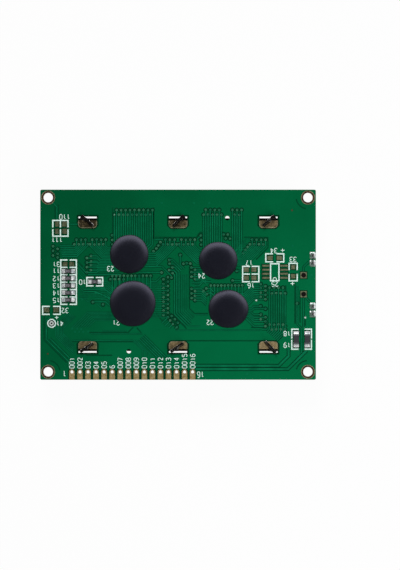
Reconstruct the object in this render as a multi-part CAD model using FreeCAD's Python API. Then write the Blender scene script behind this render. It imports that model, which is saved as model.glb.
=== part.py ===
import FreeCAD, Part
import math
import os

os.makedirs("parts", exist_ok=True)

# A four-line character display module, lying face down on its steel bezel.
# Millimetres. X runs along the board, Y up its back as seen from above, Z out of
# the board's back. The origin is the middle of the bezel's front face.

# Circuit board
board_w = 87.0
board_h = 60.0
board_t = 1.6
board_corner_r = 0.5
mount_inset = 2.5
mount_hole_d = 3.0
mount_ring_w = 0.68
plating_t = 0.05

# Steel bezel: one folded sheet that clamps the display to the board
sheet_t = 0.5
bend_r = 0.9
bezel_side_margin = 7.5
bezel_edge_margin = 9.0
window_side_w = 5.0
window_edge_w = 8.0

# Twisted tabs that lock the bezel through slots in the board
tab_inset = 7.45
tab_neck_w = 2.4
tab_head_w = 4.9
tab_head_h = 1.5
tab_lean = 0.55
tab_neck_side = 1.2
twist_rise = 0.5
twist_below = 0.05
twist_steps = 3
slot_w = 6.2
slot_inside = 0.2
slot_outside = 0.75
tab_pad_w = 5.85
tab_pad_h = 2.4
tab_pad_corner_r = 1.1
# Each tab: column, row, side of the slot that its neck stands on, twist in degrees
tabs = [
    (-1, 1, -1, -42.0),
    (0, 1, 1, 45.0),
    (1, 1, 1, 43.0),
    (-1, -1, -1, 32.0),
    (0, -1, -1, 34.0),
    (1, -1, 1, -46.0),
]

# Round holes that locate the bezel's walls while it is fitted
locating_hole_d = 1.45
locating_from_middle = 15.55

# Display glass, its films, its rubber contact strips and the backlight behind it
film_t = 0.2
film_overlap = 2.0
glass_t = 1.1
glass_side_gap = 0.3
glass_ledge = 3.2
seal_t = 0.05
seal_w = 1.0
strip_w = 2.2
strip_end_gap = 2.0
diffuser_t = 0.3
diffuser_overlap = 1.0
guide_t = 4.65
guide_gap = 0.05
housing_end_gap = 1.5
housing_wall = 2.5
led_board_t = 0.8
led_side = 0.6
led_h = 0.45
led_pocket_gap = 0.1
led_columns = 8
led_rows = 2

# Backlight leads, bent up through the board's right edge and soldered
lead_w = 0.6
lead_t = 0.3
lead_bend_r = 0.5
lead_inset = 2.0
lead_from_edge = 1.0
lead_hole_d = 1.0
lead_above = 1.0
lead_pair_y = 8.0
lead_pair_pitch = 2.5
lead_notch_gap = 0.6
joint_w = 1.9
joint_l = 2.1
joint_corner = 0.3
joint_h = 0.85
joint_waist_share = 0.66
joint_waist_h = 0.35
joint_top_share = 0.45

# Small drilled holes are drawn with this many sides
hole_sides = 10
ring_sides = 24

# Header row along the lower edge
header_pins = 16
header_pitch = 2.54
header_from_left = 10.0
header_from_edge = 2.5
header_hole_d = 1.1
header_pad_w = 1.7

# Square plated terminals for the backlight supply
terminal_side = 1.95
terminal_hole_d = 1.3
terminal_from_right = 3.87
terminal_span = 6.0

# Driver chips bonded to the board, each under a drop of black resin
die_side = 3.6
die_t = 0.4
resin_h = 1.75
resin_fullness = 2.3
resin_top_turn = 82.0
resin_bands = 5
resin_sides = 32
# Each drop: name, the board's side that it is placed from, inset, centre y, diameter
resin_drops = [
    ("u1", -1, 29.2, -5.95, 14.2),
    ("u2", 1, 27.55, -7.75, 12.3),
    ("u3", -1, 28.05, 9.6, 12.1),
    ("u4", 1, 30.8, 7.5, 12.1),
]

# Chip resistors: length, width, height, width of the metal at each end
end_wrap_t = 0.04
solder_h_share = 0.8
chip_small = (2.0, 1.25, 0.5, 0.4)
chip_large = (3.2, 1.6, 0.55, 0.5)
pad_small = (1.35, 1.3)
pad_small_span = 2.75
pad_large = (1.5, 1.7)
pad_large_span = 3.6

# The ladder of six parts at the left: one empty place, then five resistors
ladder_from_left = 8.87
ladder_top_y = 6.55
ladder_pitch = 2.27
ladder_resistors = 5
oscillator_from_left = 17.24
oscillator_y = 0.94
# The pair of larger resistors that feed the backlight, standing upright
feed_chip_from_right = 6.2
feed_chip_pitch = 3.5
feed_chip_from_edge = 12.8

# Empty places: distance from the board's left (-1) or right (1) side, centre y,
# pad width, pad height, spacing across, spacing up
empty_places = [
    (-1, ladder_from_left, ladder_top_y, 1.5, 1.2, 2.15, 0.0),
    (-1, 5.25, 18.0, 1.1, 1.6, 0.0, 2.3),
    (-1, 7.7, 18.0, 1.4, 1.6, 0.0, 2.3),
    (-1, 3.5, -8.0, 1.6, 1.4, 3.0, 0.0),
    (1, 20.75, 4.75, 1.5, 1.3, 2.4, 0.0),
    (1, 20.75, 2.2, 1.5, 1.3, 2.4, 0.0),
    (1, 13.0, 8.45, 1.65, 1.3, 2.95, 0.0),
    (1, 7.15, 4.1, 1.3, 1.3, 0.0, 2.85),
]
# The empty eight-legged place
soic_from_right = 12.9
soic_y = 4.07
soic_pitch = 1.27
soic_pad_w = 2.3
soic_pad_h = 0.57
soic_span = 5.7
# The small solder jumper and the bare test lands, each from the nearest corner
jumper_from_left = 3.6
jumper_y = -12.2
jumper_d = 1.7
test_land_d = 0.6
test_lands = [
    (-1, 1, 23.4, 7.8),
    (1, -1, 18.8, 25.05),
    (1, -1, 3.34, 19.6),
    (1, 1, 7.5, 6.5),
    (-1, -1, 2.4, 8.2),
]

# Copper traces under the mask: the main bundles, drawn as low ribs
track_w = 0.32
track_t = 0.035
track_pitch = 0.706
track_rim_gap = 0.3
# Two staggered rows of plated holes along the upper edge
upper_rows_from_edge = (8.4, 6.95)
# Bundles straight down to a drop: drop, first track from the drop's middle, tracks
upper_bundles = [
    ("u3", -4.65, 18),
    ("u4", -4.65, 9),
    ("u4", 4.3, 5),
]
# Fans that leave a row aslant and then run level: board side that the row is placed
# from (0 is the middle), first track's place, tracks, way that it runs, first level,
# step between levels, and the drop or the length of level run that it ends on
fan_row_y = 12.3
fans = [
    (-1, 10.75, 7, -1, 11.8, -0.567, 4.0),
    (-1, 15.7, 8, 1, 7.0, 0.62, "u3"),
    (0, -4.68, 7, -1, 9.7, -0.65, "u3"),
    (0, 0.34, 8, 1, 6.8, 0.55, "u4"),
    (1, -20.1, 7, -1, 8.8, -0.42, "u4"),
]
# The bundle down the right, its staggered tops, its slanting ends
side_bundle_from_right = 14.6
side_bundle_tracks = 8
side_bundle_tops = (-2.7, -1.0)
side_bundle_bend_y = -12.9
side_bundle_end_run = 2.6
# The bundle down the middle
middle_bundle_x = -1.1
middle_bundle_tracks = 3
middle_bundle_top = 3.4
middle_bundle_bend_y = -9.3
middle_bundle_end_y = -12.9
# Slanting tracks to the header's middle; the last ones turn straight down
header_bundle_x = -10.9
header_bundle_y = -15.8
header_bundle_step = (-0.357, -0.3)
header_bundle_tracks = 8
header_bundle_long = 4
header_bundle_end_y = -22.9
header_bundle_turn_x = -8.1
header_bundle_turn_step = -1.32
# Single long tracks: board side, then places along X from that side and along Y
long_tracks = [
    (1, [(-37.9, -25.6), (-11.5, -25.6), (-8.6, -22.7), (-8.6, -20.3)]),
    (1, [(-37.9, -26.65), (-8.6, -26.65), (-2.95, -21.0)]),
    (-1, [(3.3, -10.0), (1.85, -11.45), (1.85, -17.2), (8.65, -24.0)]),
    (-1, [(2.9, -16.7), (8.9, -22.7)]),
]

# White printed outlines round the places for small parts
print_line_w = 0.4
print_t = 0.03
# Each place: board side, inset, centre y, width, height, cells, gap in each rung,
# and whether its cells stand side by side
printed_places = [
    (-1, 8.93, 0.8, 5.33, 14.4, 6, 0.7, False),
    (-1, 17.2, 0.95, 5.4, 3.03, 1, 0.7, False),
    (1, 20.55, 3.35, 5.5, 5.25, 2, 0.5, False),
    (1, 12.97, 8.47, 6.06, 2.93, 1, 1.1, False),
    (-1, 3.53, -8.1, 5.95, 2.89, 1, 1.1, False),
    (1, 7.17, 3.98, 2.95, 5.95, 1, 1.2, True),
    (-1, 6.37, 17.8, 5.19, 5.37, 2, 0.6, True),
]
# The chip's outline, and the half outlines beside the two larger resistors
chip_outline = (12.97, 3.93, 3.05, 5.74)
feed_outlines = [(7.8, 1), (1.2, -1)]
feed_outline_w = 2.35
feed_outline_h = 6.7
feed_outline_gap = 0.4
jumper_ring_d = 2.9

# Levels, worked out from the stack
z_front_film = sheet_t
z_front_glass = z_front_film + film_t
z_seal = z_front_glass + glass_t
z_rear_glass = z_seal + seal_t
z_rear_film = z_rear_glass + glass_t
z_diffuser = z_rear_film + film_t
z_guide = z_diffuser + diffuser_t
z_led_board = z_guide + guide_t
z_board = z_led_board + led_board_t
z_back = z_board + board_t
z_pad = z_back + plating_t

# Sizes that follow from the ones above
half_w = board_w / 2
half_h = board_h / 2
mount_x = half_w - mount_inset
mount_y = half_h - mount_inset
bezel_w = board_w - 2 * bezel_side_margin
bezel_h = board_h - 2 * bezel_edge_margin
window_w = bezel_w - 2 * window_side_w
window_h = bezel_h - 2 * window_edge_w
tab_pitch = bezel_w / 2 - tab_inset
wall_y = bezel_h / 2
wall_inner_y = wall_y - sheet_t
slot_y0 = wall_inner_y - slot_inside
slot_y1 = wall_y + slot_outside
neck_y = wall_y - sheet_t / 2
front_glass_w = bezel_w - 2 * (sheet_t + glass_side_gap)
front_glass_h = bezel_h - 2 * (sheet_t + glass_side_gap)
rear_glass_h = front_glass_h - 2 * glass_ledge
film_w = window_w + 2 * film_overlap
film_h = window_h + 2 * film_overlap
strip_y = front_glass_h / 2 - glass_ledge / 2
housing_w = bezel_w - 2 * (sheet_t + housing_end_gap)
housing_h = rear_glass_h
cavity_w = housing_w - 2 * housing_wall
cavity_h = housing_h - 2 * housing_wall
header_y = header_from_edge - half_h
header_first_x = header_from_left - half_w
terminal_x = half_w - terminal_from_right
ladder_x = ladder_from_left - half_w
lead_x = half_w - lead_from_edge
lead_z = z_led_board + led_board_t / 2
lead_ys = [side * lead_pair_y + step * lead_pair_pitch / 2 for side in (1, -1) for step in (1, -1)]
drops = {name: (side * (half_w - inset), y, d) for name, side, inset, y, d in resin_drops}
jumper_x = jumper_from_left - half_w


def point(x, y, z):
    return FreeCAD.Vector(x, y, z)


def block(w, h, z0, z1, x=0.0, y=0.0):
    """A box centred on x, y between two levels."""
    return Part.makeBox(w, h, z1 - z0, point(x - w / 2, y - h / 2, z0))


def frame_plate(w, h, hole_w, hole_h, z0, z1):
    """A rectangular plate with a rectangular opening in its middle."""
    return block(w, h, z0, z1).cut(block(hole_w, hole_h, z0, z1))


def rod(d, z0, z1, x=0.0, y=0.0):
    """An upright cylinder between two levels."""
    return Part.makeCylinder(d / 2, z1 - z0, point(x, y, z0))


def solid_through(rings, twisted=False):
    """A solid of flat faces through rings of corners; twisted sides are split in triangles."""
    outlines = [rings[0], rings[-1]]
    for low, high in zip(rings, rings[1:]):
        for i in range(len(low)):
            j = (i + 1) % len(low)
            if twisted:
                outlines.append([low[i], low[j], high[j]])
                outlines.append([low[i], high[j], high[i]])
            else:
                outlines.append([low[i], low[j], high[j], high[i]])
    faces = [Part.Face(Part.makePolygon(corners + corners[:1])) for corners in outlines]
    shell = Part.makeShell(faces)
    shell.sewShape()
    solid = Part.makeSolid(Part.Shell(shell.Faces))
    if solid.Volume < 0:
        solid.reverse()
    return solid


def banded_solid(levels, sides, x, y):
    """A many-sided solid of revolution, from (diameter, height) levels."""
    rings = []
    for d, z in levels:
        turns = [2 * math.pi * i / sides for i in range(sides)]
        rings.append([point(x + d / 2 * math.cos(t), y + d / 2 * math.sin(t), z) for t in turns])
    return solid_through(rings)


def prism(d, z0, z1, x=0.0, y=0.0, sides=None):
    """A many-sided rod between two levels."""
    return banded_solid([(d, z0), (d, z1)], sides or hole_sides, x, y)


def round_upright_edges(solid, r, wanted):
    """Fillets the upright edges whose middle the wanted test picks."""
    picked = []
    for edge in solid.Edges:
        middle = edge.CenterOfMass
        upright = abs(edge.tangentAt(edge.FirstParameter).z) > 0.99
        if upright and wanted(middle):
            picked.append(edge)
    return solid.makeFillet(r, picked)


def save(name, shape):
    shape.exportStep("parts/" + name + ".step")


def save_group(name, solids):
    save(name, Part.makeCompound(solids))


# Circuit board

def mount_places():
    return [(side * mount_x, end * mount_y) for side in (-1, 1) for end in (-1, 1)]


def header_places():
    return [(header_first_x + i * header_pitch, header_y) for i in range(header_pins)]


def terminal_places():
    return [(terminal_x, terminal_span / 2), (terminal_x, -terminal_span / 2)]


def circuit_board():
    board = block(board_w, board_h, z_board, z_back)
    board = round_upright_edges(board, board_corner_r, lambda middle: True)
    cuts = []
    lining = 2 * plating_t
    for x, y in mount_places():
        cuts.append(rod(mount_hole_d, z_board, z_back, x, y))
    for x, y in header_places():
        cuts.append(prism(header_hole_d + lining, z_board, z_back, x, y))
    for x, y in terminal_places():
        cuts.append(prism(terminal_hole_d + lining, z_board, z_back, x, y))
    for y in lead_ys:
        cuts.append(prism(lead_hole_d, z_board, z_back, lead_x, y))
    for side in (1, -1):
        cuts.append(prism(locating_hole_d, z_board, z_back, side * locating_from_middle, side * wall_y))
    slot_h = slot_y1 - slot_y0
    for column, row, neck_side, twist in tabs:
        y = row * (slot_y0 + slot_h / 2)
        cuts.append(block(slot_w, slot_h, z_board, z_back, column * tab_pitch, y))
    return board.cut(cuts)


# Copper that is left bare of solder mask

def eyelet(x, y, hole_d, back_land, front_land):
    """A plated hole: a thin lining with a land on each face of the board."""
    lining = prism(hole_d + 2 * plating_t, z_board, z_back, x, y)
    hole = prism(hole_d, z_board - plating_t, z_pad, x, y)
    return lining.fuse([back_land, front_land]).removeSplitter().cut(hole)


def mounting_pads():
    """A copper ring round each mounting hole."""
    rings = []
    for x, y in mount_places():
        disc = prism(mount_hole_d + 2 * mount_ring_w, z_back, z_pad, x, y, ring_sides)
        rings.append(disc.cut(rod(mount_hole_d, z_back, z_pad, x, y)))
    return rings


def header_pads():
    """Round-topped pads that run down to the board's lower edge."""
    pads = []
    edge_y = -half_h
    for x, y in header_places():
        tail = block(header_pad_w, y - edge_y, z_back, z_pad, x, (y + edge_y) / 2)
        back_land = prism(header_pad_w, z_back, z_pad, x, y).fuse(tail)
        front_land = prism(header_pad_w, z_board - plating_t, z_board, x, y)
        pads.append(eyelet(x, y, header_hole_d, back_land, front_land))
    return pads


def backlight_terminals():
    pads = []
    for x, y in terminal_places():
        back_land = block(terminal_side, terminal_side, z_back, z_pad, x, y)
        front_land = block(terminal_side, terminal_side, z_board - plating_t, z_board, x, y)
        pads.append(eyelet(x, y, terminal_hole_d, back_land, front_land))
    return pads


def tab_pads():
    """Ground pads that the twisted tabs bear on, one beside each slot."""
    pads = []
    for column, row, neck_side, twist in tabs:
        x = column * tab_pitch
        inner_y = row * (slot_y0 - tab_pad_h)
        pad = block(tab_pad_w, tab_pad_h, z_back, z_pad, x, row * (slot_y0 - tab_pad_h / 2))
        is_inner = lambda middle: abs(middle.y - inner_y) < tab_pad_h / 2
        pads.append(round_upright_edges(pad, tab_pad_corner_r, is_inner))
    return pads


def soic_pads():
    pads = []
    for side in (-1, 1):
        for i in range(4):
            y = soic_y + (i - 1.5) * soic_pitch
            x = half_w - soic_from_right + side * soic_span / 2
            pads.append(block(soic_pad_w, soic_pad_h, z_back, z_pad, x, y))
    return pads


def pad_pair(x, y, w, h, span_x, span_y):
    pads = []
    for side in (-1, 1):
        pads.append(block(w, h, z_back, z_pad, x + side * span_x / 2, y + side * span_y / 2))
    return pads


# Chip resistors, on their pads, with solder at both ends

def small_chips():
    chips = []
    for i in range(ladder_resistors):
        chips.append(("r%d" % (i + 1), ladder_x, ladder_top_y - (i + 1) * ladder_pitch))
    chips.append(("rf", oscillator_from_left - half_w, oscillator_y))
    return chips


def large_chips():
    first_x = half_w - feed_chip_from_right
    y = feed_chip_from_edge - half_h
    return [("r8", first_x, y), ("r9", first_x + feed_chip_pitch, y)]


def turned(solid, x, y, upright):
    """Sets a solid made about the origin onto its pads, along X or along Y."""
    placed = solid.copy()
    if upright:
        placed.rotate(point(0, 0, 0), point(0, 0, 1), 90)
    placed.translate(point(x, y, z_pad))
    return placed


def chip_body(chip):
    length, width, height, end_w = chip
    body = block(length, width, 0, height)
    for side in (-1, 1):
        shell = block(end_w, width, 0, height, side * (length - end_w) / 2)
        core = block(end_w, width, end_wrap_t, height - end_wrap_t, side * ((length - end_w) / 2 - end_wrap_t))
        body = body.cut(shell.cut(core))
    return body


def chip_ends(chip):
    length, width, height, end_w = chip
    ends = []
    for side in (-1, 1):
        shell = block(end_w, width, 0, height, side * (length - end_w) / 2)
        core = block(end_w, width, end_wrap_t, height - end_wrap_t, side * ((length - end_w) / 2 - end_wrap_t))
        ends.append(shell.cut(core))
    return ends


def solder_fillets(chip, pad, pad_span):
    """Hollow-faced wedges of solder from each end face down to the pad's edge."""
    length, width, height, end_w = chip
    foot = (pad_span + pad[0]) / 2
    top = height * solder_h_share
    start = length / 2
    run = foot - start
    across = min(width, pad[1])
    corner = point(start, -across / 2, 0)
    toe = point(foot, -across / 2, 0)
    peak = point(start, -across / 2, top)
    waist = point(start + 0.36 * run, -across / 2, 0.36 * top)
    outline = [
        Part.LineSegment(corner, toe).toShape(),
        Part.Arc(toe, waist, peak).toShape(),
        Part.LineSegment(peak, corner).toShape(),
    ]
    wedge = Part.Face(Part.Wire(outline)).extrude(point(0, across, 0))
    other = wedge.copy()
    other.rotate(point(0, 0, 0), point(0, 0, 1), 180)
    return [wedge, other]


def chip_pads(x, y, pad, span, upright):
    if upright:
        return pad_pair(x, y, pad[1], pad[0], 0.0, span)
    return pad_pair(x, y, pad[0], pad[1], span, 0.0)


# Steel bezel

def wall(length, angle, offset):
    """A folded wall: bend and upright, along one side of the front sheet."""
    inner_r = bend_r - sheet_t
    slant = math.sqrt(0.5)
    outer_mid = point(bend_r * slant, 0, bend_r - bend_r * slant)
    inner_mid = point(inner_r * slant, 0, bend_r - inner_r * slant)
    outline = [
        Part.Arc(point(0, 0, 0), outer_mid, point(bend_r, 0, bend_r)).toShape(),
        Part.LineSegment(point(bend_r, 0, bend_r), point(bend_r, 0, z_board)).toShape(),
        Part.LineSegment(point(bend_r, 0, z_board), point(inner_r, 0, z_board)).toShape(),
        Part.LineSegment(point(inner_r, 0, z_board), point(inner_r, 0, bend_r)).toShape(),
        Part.Arc(point(inner_r, 0, bend_r), inner_mid, point(0, 0, sheet_t)).toShape(),
        Part.LineSegment(point(0, 0, sheet_t), point(0, 0, 0)).toShape(),
    ]
    solid = Part.Face(Part.Wire(outline)).extrude(point(0, length, 0))
    solid.translate(point(offset, -length / 2, 0))
    solid.rotate(point(0, 0, 0), point(0, 0, 1), angle)
    return solid


def neck_section(angle, z):
    """The neck's four corners at one level of its twist, about the neck's own axis."""
    half_neck = tab_neck_w / 2
    half_t = sheet_t / 2
    turn = math.radians(angle)
    corners = []
    for u, v in [(-half_neck, -half_t), (half_neck, -half_t), (half_neck, half_t), (-half_neck, half_t)]:
        x = u * math.cos(turn) - v * math.sin(turn)
        y = u * math.sin(turn) + v * math.cos(turn)
        corners.append(point(x, y, z))
    return corners


def tab(column, row, neck_side, twist):
    """A neck through the slot, twisted above it, and a leaning head that overhangs the pad."""
    twist_z0 = z_back - twist_below
    twist_z1 = twist_z0 + twist_rise
    neck = block(tab_neck_w, sheet_t, z_board - sheet_t, twist_z0)
    sections = []
    for i in range(twist_steps + 1):
        share = i / twist_steps
        sections.append(neck_section(twist * share, twist_z0 + twist_rise * share))
    twisted = solid_through(sections, True)
    head_x = -neck_side * (tab_head_w - tab_neck_w) / 2
    head_levels = []
    for lean, z in ((0.0, z_pad), (tab_lean, z_pad + tab_head_h)):
        plan = [(-1, -1), (1, -1), (1, 1), (-1, 1)]
        head_levels.append([point(head_x + u * tab_head_w / 2, lean + v * sheet_t / 2, z) for u, v in plan])
    head = solid_through(head_levels)
    head.rotate(point(0, 0, 0), point(0, 0, 1), twist)
    solid = neck.fuse([twisted, head])
    x = column * tab_pitch + neck_side * tab_neck_side
    solid.translate(point(x, row * neck_y, 0))
    return solid


def bezel():
    flat_w = bezel_w - 2 * bend_r
    flat_h = bezel_h - 2 * bend_r
    front = frame_plate(flat_w, flat_h, window_w, window_h, 0, sheet_t)
    pieces = []
    for angle in (0, 180):
        pieces.append(wall(flat_h, angle, flat_w / 2))
    for angle in (90, 270):
        pieces.append(wall(flat_w, angle, flat_h / 2))
    for column, row, neck_side, twist in tabs:
        pieces.append(tab(column, row, neck_side, twist))
    folded = front.fuse(pieces).removeSplitter()
    notch_h = lead_pair_pitch + lead_w + 2 * lead_notch_gap
    notch_z = lead_z - lead_t / 2 - lead_notch_gap
    notches = []
    for side in (1, -1):
        x = bezel_w / 2 - sheet_t / 2
        notches.append(block(2 * sheet_t, notch_h, notch_z, z_board, x, side * lead_pair_y))
    return folded.cut(notches)


# Display stack

def contact_strip(side):
    length = front_glass_w - 2 * strip_end_gap
    return block(length, strip_w, z_seal, z_board, 0, side * strip_y)


def led_places():
    places = []
    for i in range(led_columns):
        for j in range(led_rows):
            x = (i - (led_columns - 1) / 2) * cavity_w / led_columns
            y = (j - (led_rows - 1) / 2) * cavity_h / led_rows
            places.append((x, y))
    return places


def light_guide():
    side = led_side + 2 * led_pocket_gap
    depth = led_h + led_pocket_gap
    guide = block(cavity_w - 2 * guide_gap, cavity_h - 2 * guide_gap, z_guide, z_led_board)
    pockets = [block(side, side, z_led_board - depth, z_led_board, x, y) for x, y in led_places()]
    return guide.cut(pockets)


def backlight_housing():
    ring = frame_plate(housing_w, housing_h, cavity_w, cavity_h, z_diffuser, z_led_board)
    seat_w = cavity_w + 2 * diffuser_overlap
    seat_h = cavity_h + 2 * diffuser_overlap
    return ring.cut(block(seat_w, seat_h, z_diffuser, z_guide))


def diffuser_sheet():
    seat_w = cavity_w + 2 * diffuser_overlap
    seat_h = cavity_h + 2 * diffuser_overlap
    return block(seat_w - 2 * guide_gap, seat_h - 2 * guide_gap, z_diffuser, z_guide)


def lead(y):
    """A flat strip out of the lamp board's end, bent up through the board."""
    half_t = lead_t / 2
    outer_r = lead_bend_r + half_t
    inner_r = lead_bend_r - half_t
    start = housing_w / 2 - lead_inset
    end = lead_x - lead_bend_r
    bend_z = lead_z + lead_bend_r
    top = z_back + lead_above
    slant = math.sqrt(0.5)
    low, high = lead_z - half_t, lead_z + half_t
    outer, inner = lead_x + half_t, lead_x - half_t
    outer_mid = point(end + outer_r * slant, 0, bend_z - outer_r * slant)
    inner_mid = point(end + inner_r * slant, 0, bend_z - inner_r * slant)
    outline = [
        Part.LineSegment(point(start, 0, low), point(end, 0, low)).toShape(),
        Part.Arc(point(end, 0, low), outer_mid, point(outer, 0, bend_z)).toShape(),
        Part.LineSegment(point(outer, 0, bend_z), point(outer, 0, top)).toShape(),
        Part.LineSegment(point(outer, 0, top), point(inner, 0, top)).toShape(),
        Part.LineSegment(point(inner, 0, top), point(inner, 0, bend_z)).toShape(),
        Part.Arc(point(inner, 0, bend_z), inner_mid, point(end, 0, high)).toShape(),
        Part.LineSegment(point(end, 0, high), point(start, 0, high)).toShape(),
        Part.LineSegment(point(start, 0, high), point(start, 0, low)).toShape(),
    ]
    strip = Part.Face(Part.Wire(outline)).extrude(point(0, lead_w, 0))
    strip.translate(point(0, y - lead_w / 2, 0))
    return strip


def led_board():
    board = block(housing_w, housing_h, z_led_board, z_board)
    slots = []
    for y in lead_ys:
        x = housing_w / 2 - lead_inset / 2
        slots.append(block(lead_inset, lead_w, lead_z - lead_t / 2, lead_z + lead_t / 2, x, y))
    return board.cut(slots)


def lead_joint(y):
    """A hollow-flanked hump of solder on an oblong land, pierced by its lead."""
    u, v, c = joint_w / 2, joint_l / 2, joint_corner
    corners = [(u, c - v), (u, v - c), (u - c, v), (c - u, v), (-u, v - c), (-u, c - v), (c - u, -v), (u - c, -v)]
    rings = []
    for share, rise in ((1.0, 0.0), (joint_waist_share, joint_waist_h), (joint_top_share, joint_h)):
        rings.append([point(lead_x + share * a, y + share * b, z_back + rise) for a, b in corners])
    return solid_through(rings).cut(lead(y))


# Chips under resin

def resin_drop(x, y, d):
    """A drop with a full shoulder and a flatter crown, hollowed where the chip sits."""
    levels = []
    power = 2 / resin_fullness
    for i in range(resin_bands + 1):
        turn = math.radians(resin_top_turn) * i / resin_bands
        rise = (math.sin(turn) / math.sin(math.radians(resin_top_turn))) ** power
        levels.append((d * math.cos(turn) ** power, z_back + resin_h * rise))
    return banded_solid(levels, resin_sides, x, y).cut(driver_die(x, y))


def driver_die(x, y):
    return block(die_side, die_side, z_back, z_back + die_t, x, y)


# Copper traces

def track(route):
    """A rib of even width along a route of straight runs, mitred at its corners."""
    legs = []
    for (x0, y0), (x1, y1) in zip(route, route[1:]):
        length = math.hypot(x1 - x0, y1 - y0)
        legs.append(((x1 - x0) / length, (y1 - y0) / length))
    left, right = [], []
    for (x, y), (ax, ay), (bx, by) in zip(route, legs[:1] + legs, legs + legs[-1:]):
        reach = track_w / 2 / (1 + ax * bx + ay * by)
        across_x, across_y = -(ay + by) * reach, (ax + bx) * reach
        left.append(point(x + across_x, y + across_y, z_back))
        right.append(point(x - across_x, y - across_y, z_back))
    corners = left + right[::-1]
    return Part.Face(Part.makePolygon(corners + corners[:1])).extrude(point(0, 0, track_t))


def rim_point(x, y, dx, dy, drop):
    """Where a line from x, y towards dx, dy reaches a drop's rim, or passes nearest to it."""
    cx, cy, d = drops[drop]
    reach = d / 2 + track_rim_gap
    along = dx * (cx - x) + dy * (cy - y)
    aside = (cx - x) ** 2 + (cy - y) ** 2 - along ** 2
    run = along - math.sqrt(max(reach ** 2 - aside, 0.0))
    return x + run * dx, y + run * dy


def upper_tracks():
    """Tracks down from the upper rows; those past a drop's shoulder turn in to it aslant."""
    slant = math.sqrt(0.5)
    tracks = []
    for drop, first, count in upper_bundles:
        cx, cy, d = drops[drop]
        shoulder = slant * (d / 2 + track_rim_gap)
        for i in range(count):
            x = cx + first + i * track_pitch
            route = [(x, half_h - upper_rows_from_edge[i % 2])]
            past = abs(x - cx) - shoulder
            if past < track_pitch:
                route.append(rim_point(*route[0], 0, -1, drop))
            else:
                bend_y = cy + shoulder - past * (math.sqrt(2) - 1)
                way = -math.copysign(slant, x - cx)
                route.append((x, bend_y))
                route.append(rim_point(x, bend_y, way, -slant, drop))
            tracks.append(track(route))
    return tracks


def fan_tracks():
    tracks = []
    for side, first, count, way, level, step, end in fans:
        for i in range(count):
            x = side * half_w + first + i * track_pitch
            y = level + i * step
            bend_x = x + way * (fan_row_y - y)
            if end in drops:
                last = rim_point(bend_x, y, way, 0, end)
            else:
                last = (bend_x + way * end, y)
            tracks.append(track([(x, fan_row_y), (bend_x, y), last]))
    return tracks


def bent_bundle(x, count, tops, bend_y, way, end_y):
    """Upright tracks side by side that all turn aslant, an even step apart on both legs."""
    tracks = []
    turn_step = track_pitch * (math.sqrt(2) - 1) * way
    for i in range(count):
        top = (x + i * track_pitch, tops[i % len(tops)])
        bend = (top[0], bend_y + i * turn_step)
        end = (bend[0] + way * (bend[1] - end_y), end_y)
        tracks.append(track([top, bend, end]))
    return tracks


def header_tracks():
    tracks = []
    for i in range(header_bundle_tracks):
        x = header_bundle_x + i * header_bundle_step[0]
        y = header_bundle_y + i * header_bundle_step[1]
        turn_x = header_bundle_turn_x + (i - header_bundle_long) * header_bundle_turn_step
        end = (x + y - header_bundle_end_y, header_bundle_end_y)
        route = [(x, y), end]
        if i >= header_bundle_long:
            route = [(x, y), (turn_x, y - (turn_x - x)), (turn_x, header_bundle_end_y)]
        tracks.append(track(route))
    return tracks


def single_tracks():
    return [track([(side * half_w + x, y) for x, y in route]) for side, route in long_tracks]


# White print

def comb(w, h, cells, gap):
    """The left half of a printed outline: an upright with a stub at each rung."""
    stub = (w - gap) / 2
    bars = [block(print_line_w, h, z_back, z_back + print_t, (print_line_w - w) / 2, 0)]
    for i in range(cells + 1):
        y = (h - print_line_w) * (i / cells - 0.5)
        bars.append(block(stub, print_line_w, z_back, z_back + print_t, (stub - w) / 2, y))
    return bars[0].fuse(bars[1:]).removeSplitter()


def moved(solid, x, y, turn):
    placed = solid.copy()
    placed.rotate(point(0, 0, 0), point(0, 0, 1), turn)
    placed.translate(point(x, y, 0))
    return placed


def printed_outlines():
    shapes = []
    for side, inset, y, w, h, cells, gap, beside in printed_places:
        x = side * (half_w - inset)
        half = comb(h, w, cells, gap) if beside else comb(w, h, cells, gap)
        for turn in (0, 180):
            shapes.append(moved(half, x, y, turn + (90 if beside else 0)))
    inset, y, w, h = chip_outline
    inner_w, inner_h = w - 2 * print_line_w, h - 2 * print_line_w
    frame = frame_plate(w, h, inner_w, inner_h, z_back, z_back + print_t)
    shapes.append(moved(frame, half_w - inset, y, 0))
    for inset, open_way in feed_outlines:
        for end in (-1, 1):
            leg_h = (feed_outline_h - feed_outline_gap) / 2
            leg_y = end * (feed_outline_gap + leg_h) / 2
            upright_x = -open_way * (feed_outline_w - print_line_w) / 2
            arm_y = end * (feed_outline_h - print_line_w) / 2
            upright = block(print_line_w, leg_h, z_back, z_back + print_t, upright_x, leg_y)
            arm = block(feed_outline_w, print_line_w, z_back, z_back + print_t, 0, arm_y)
            hook = upright.fuse(arm).removeSplitter()
            x = half_w - inset + open_way * feed_outline_w / 2
            shapes.append(moved(hook, x, feed_chip_from_edge - half_h, 0))
    ring = prism(jumper_ring_d, z_back, z_back + print_t, jumper_x, jumper_y)
    hole = prism(jumper_ring_d - 2 * print_line_w, z_back, z_back + print_t, jumper_x, jumper_y)
    shapes.append(ring.cut(hole))
    return shapes


# Write every piece

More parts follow.
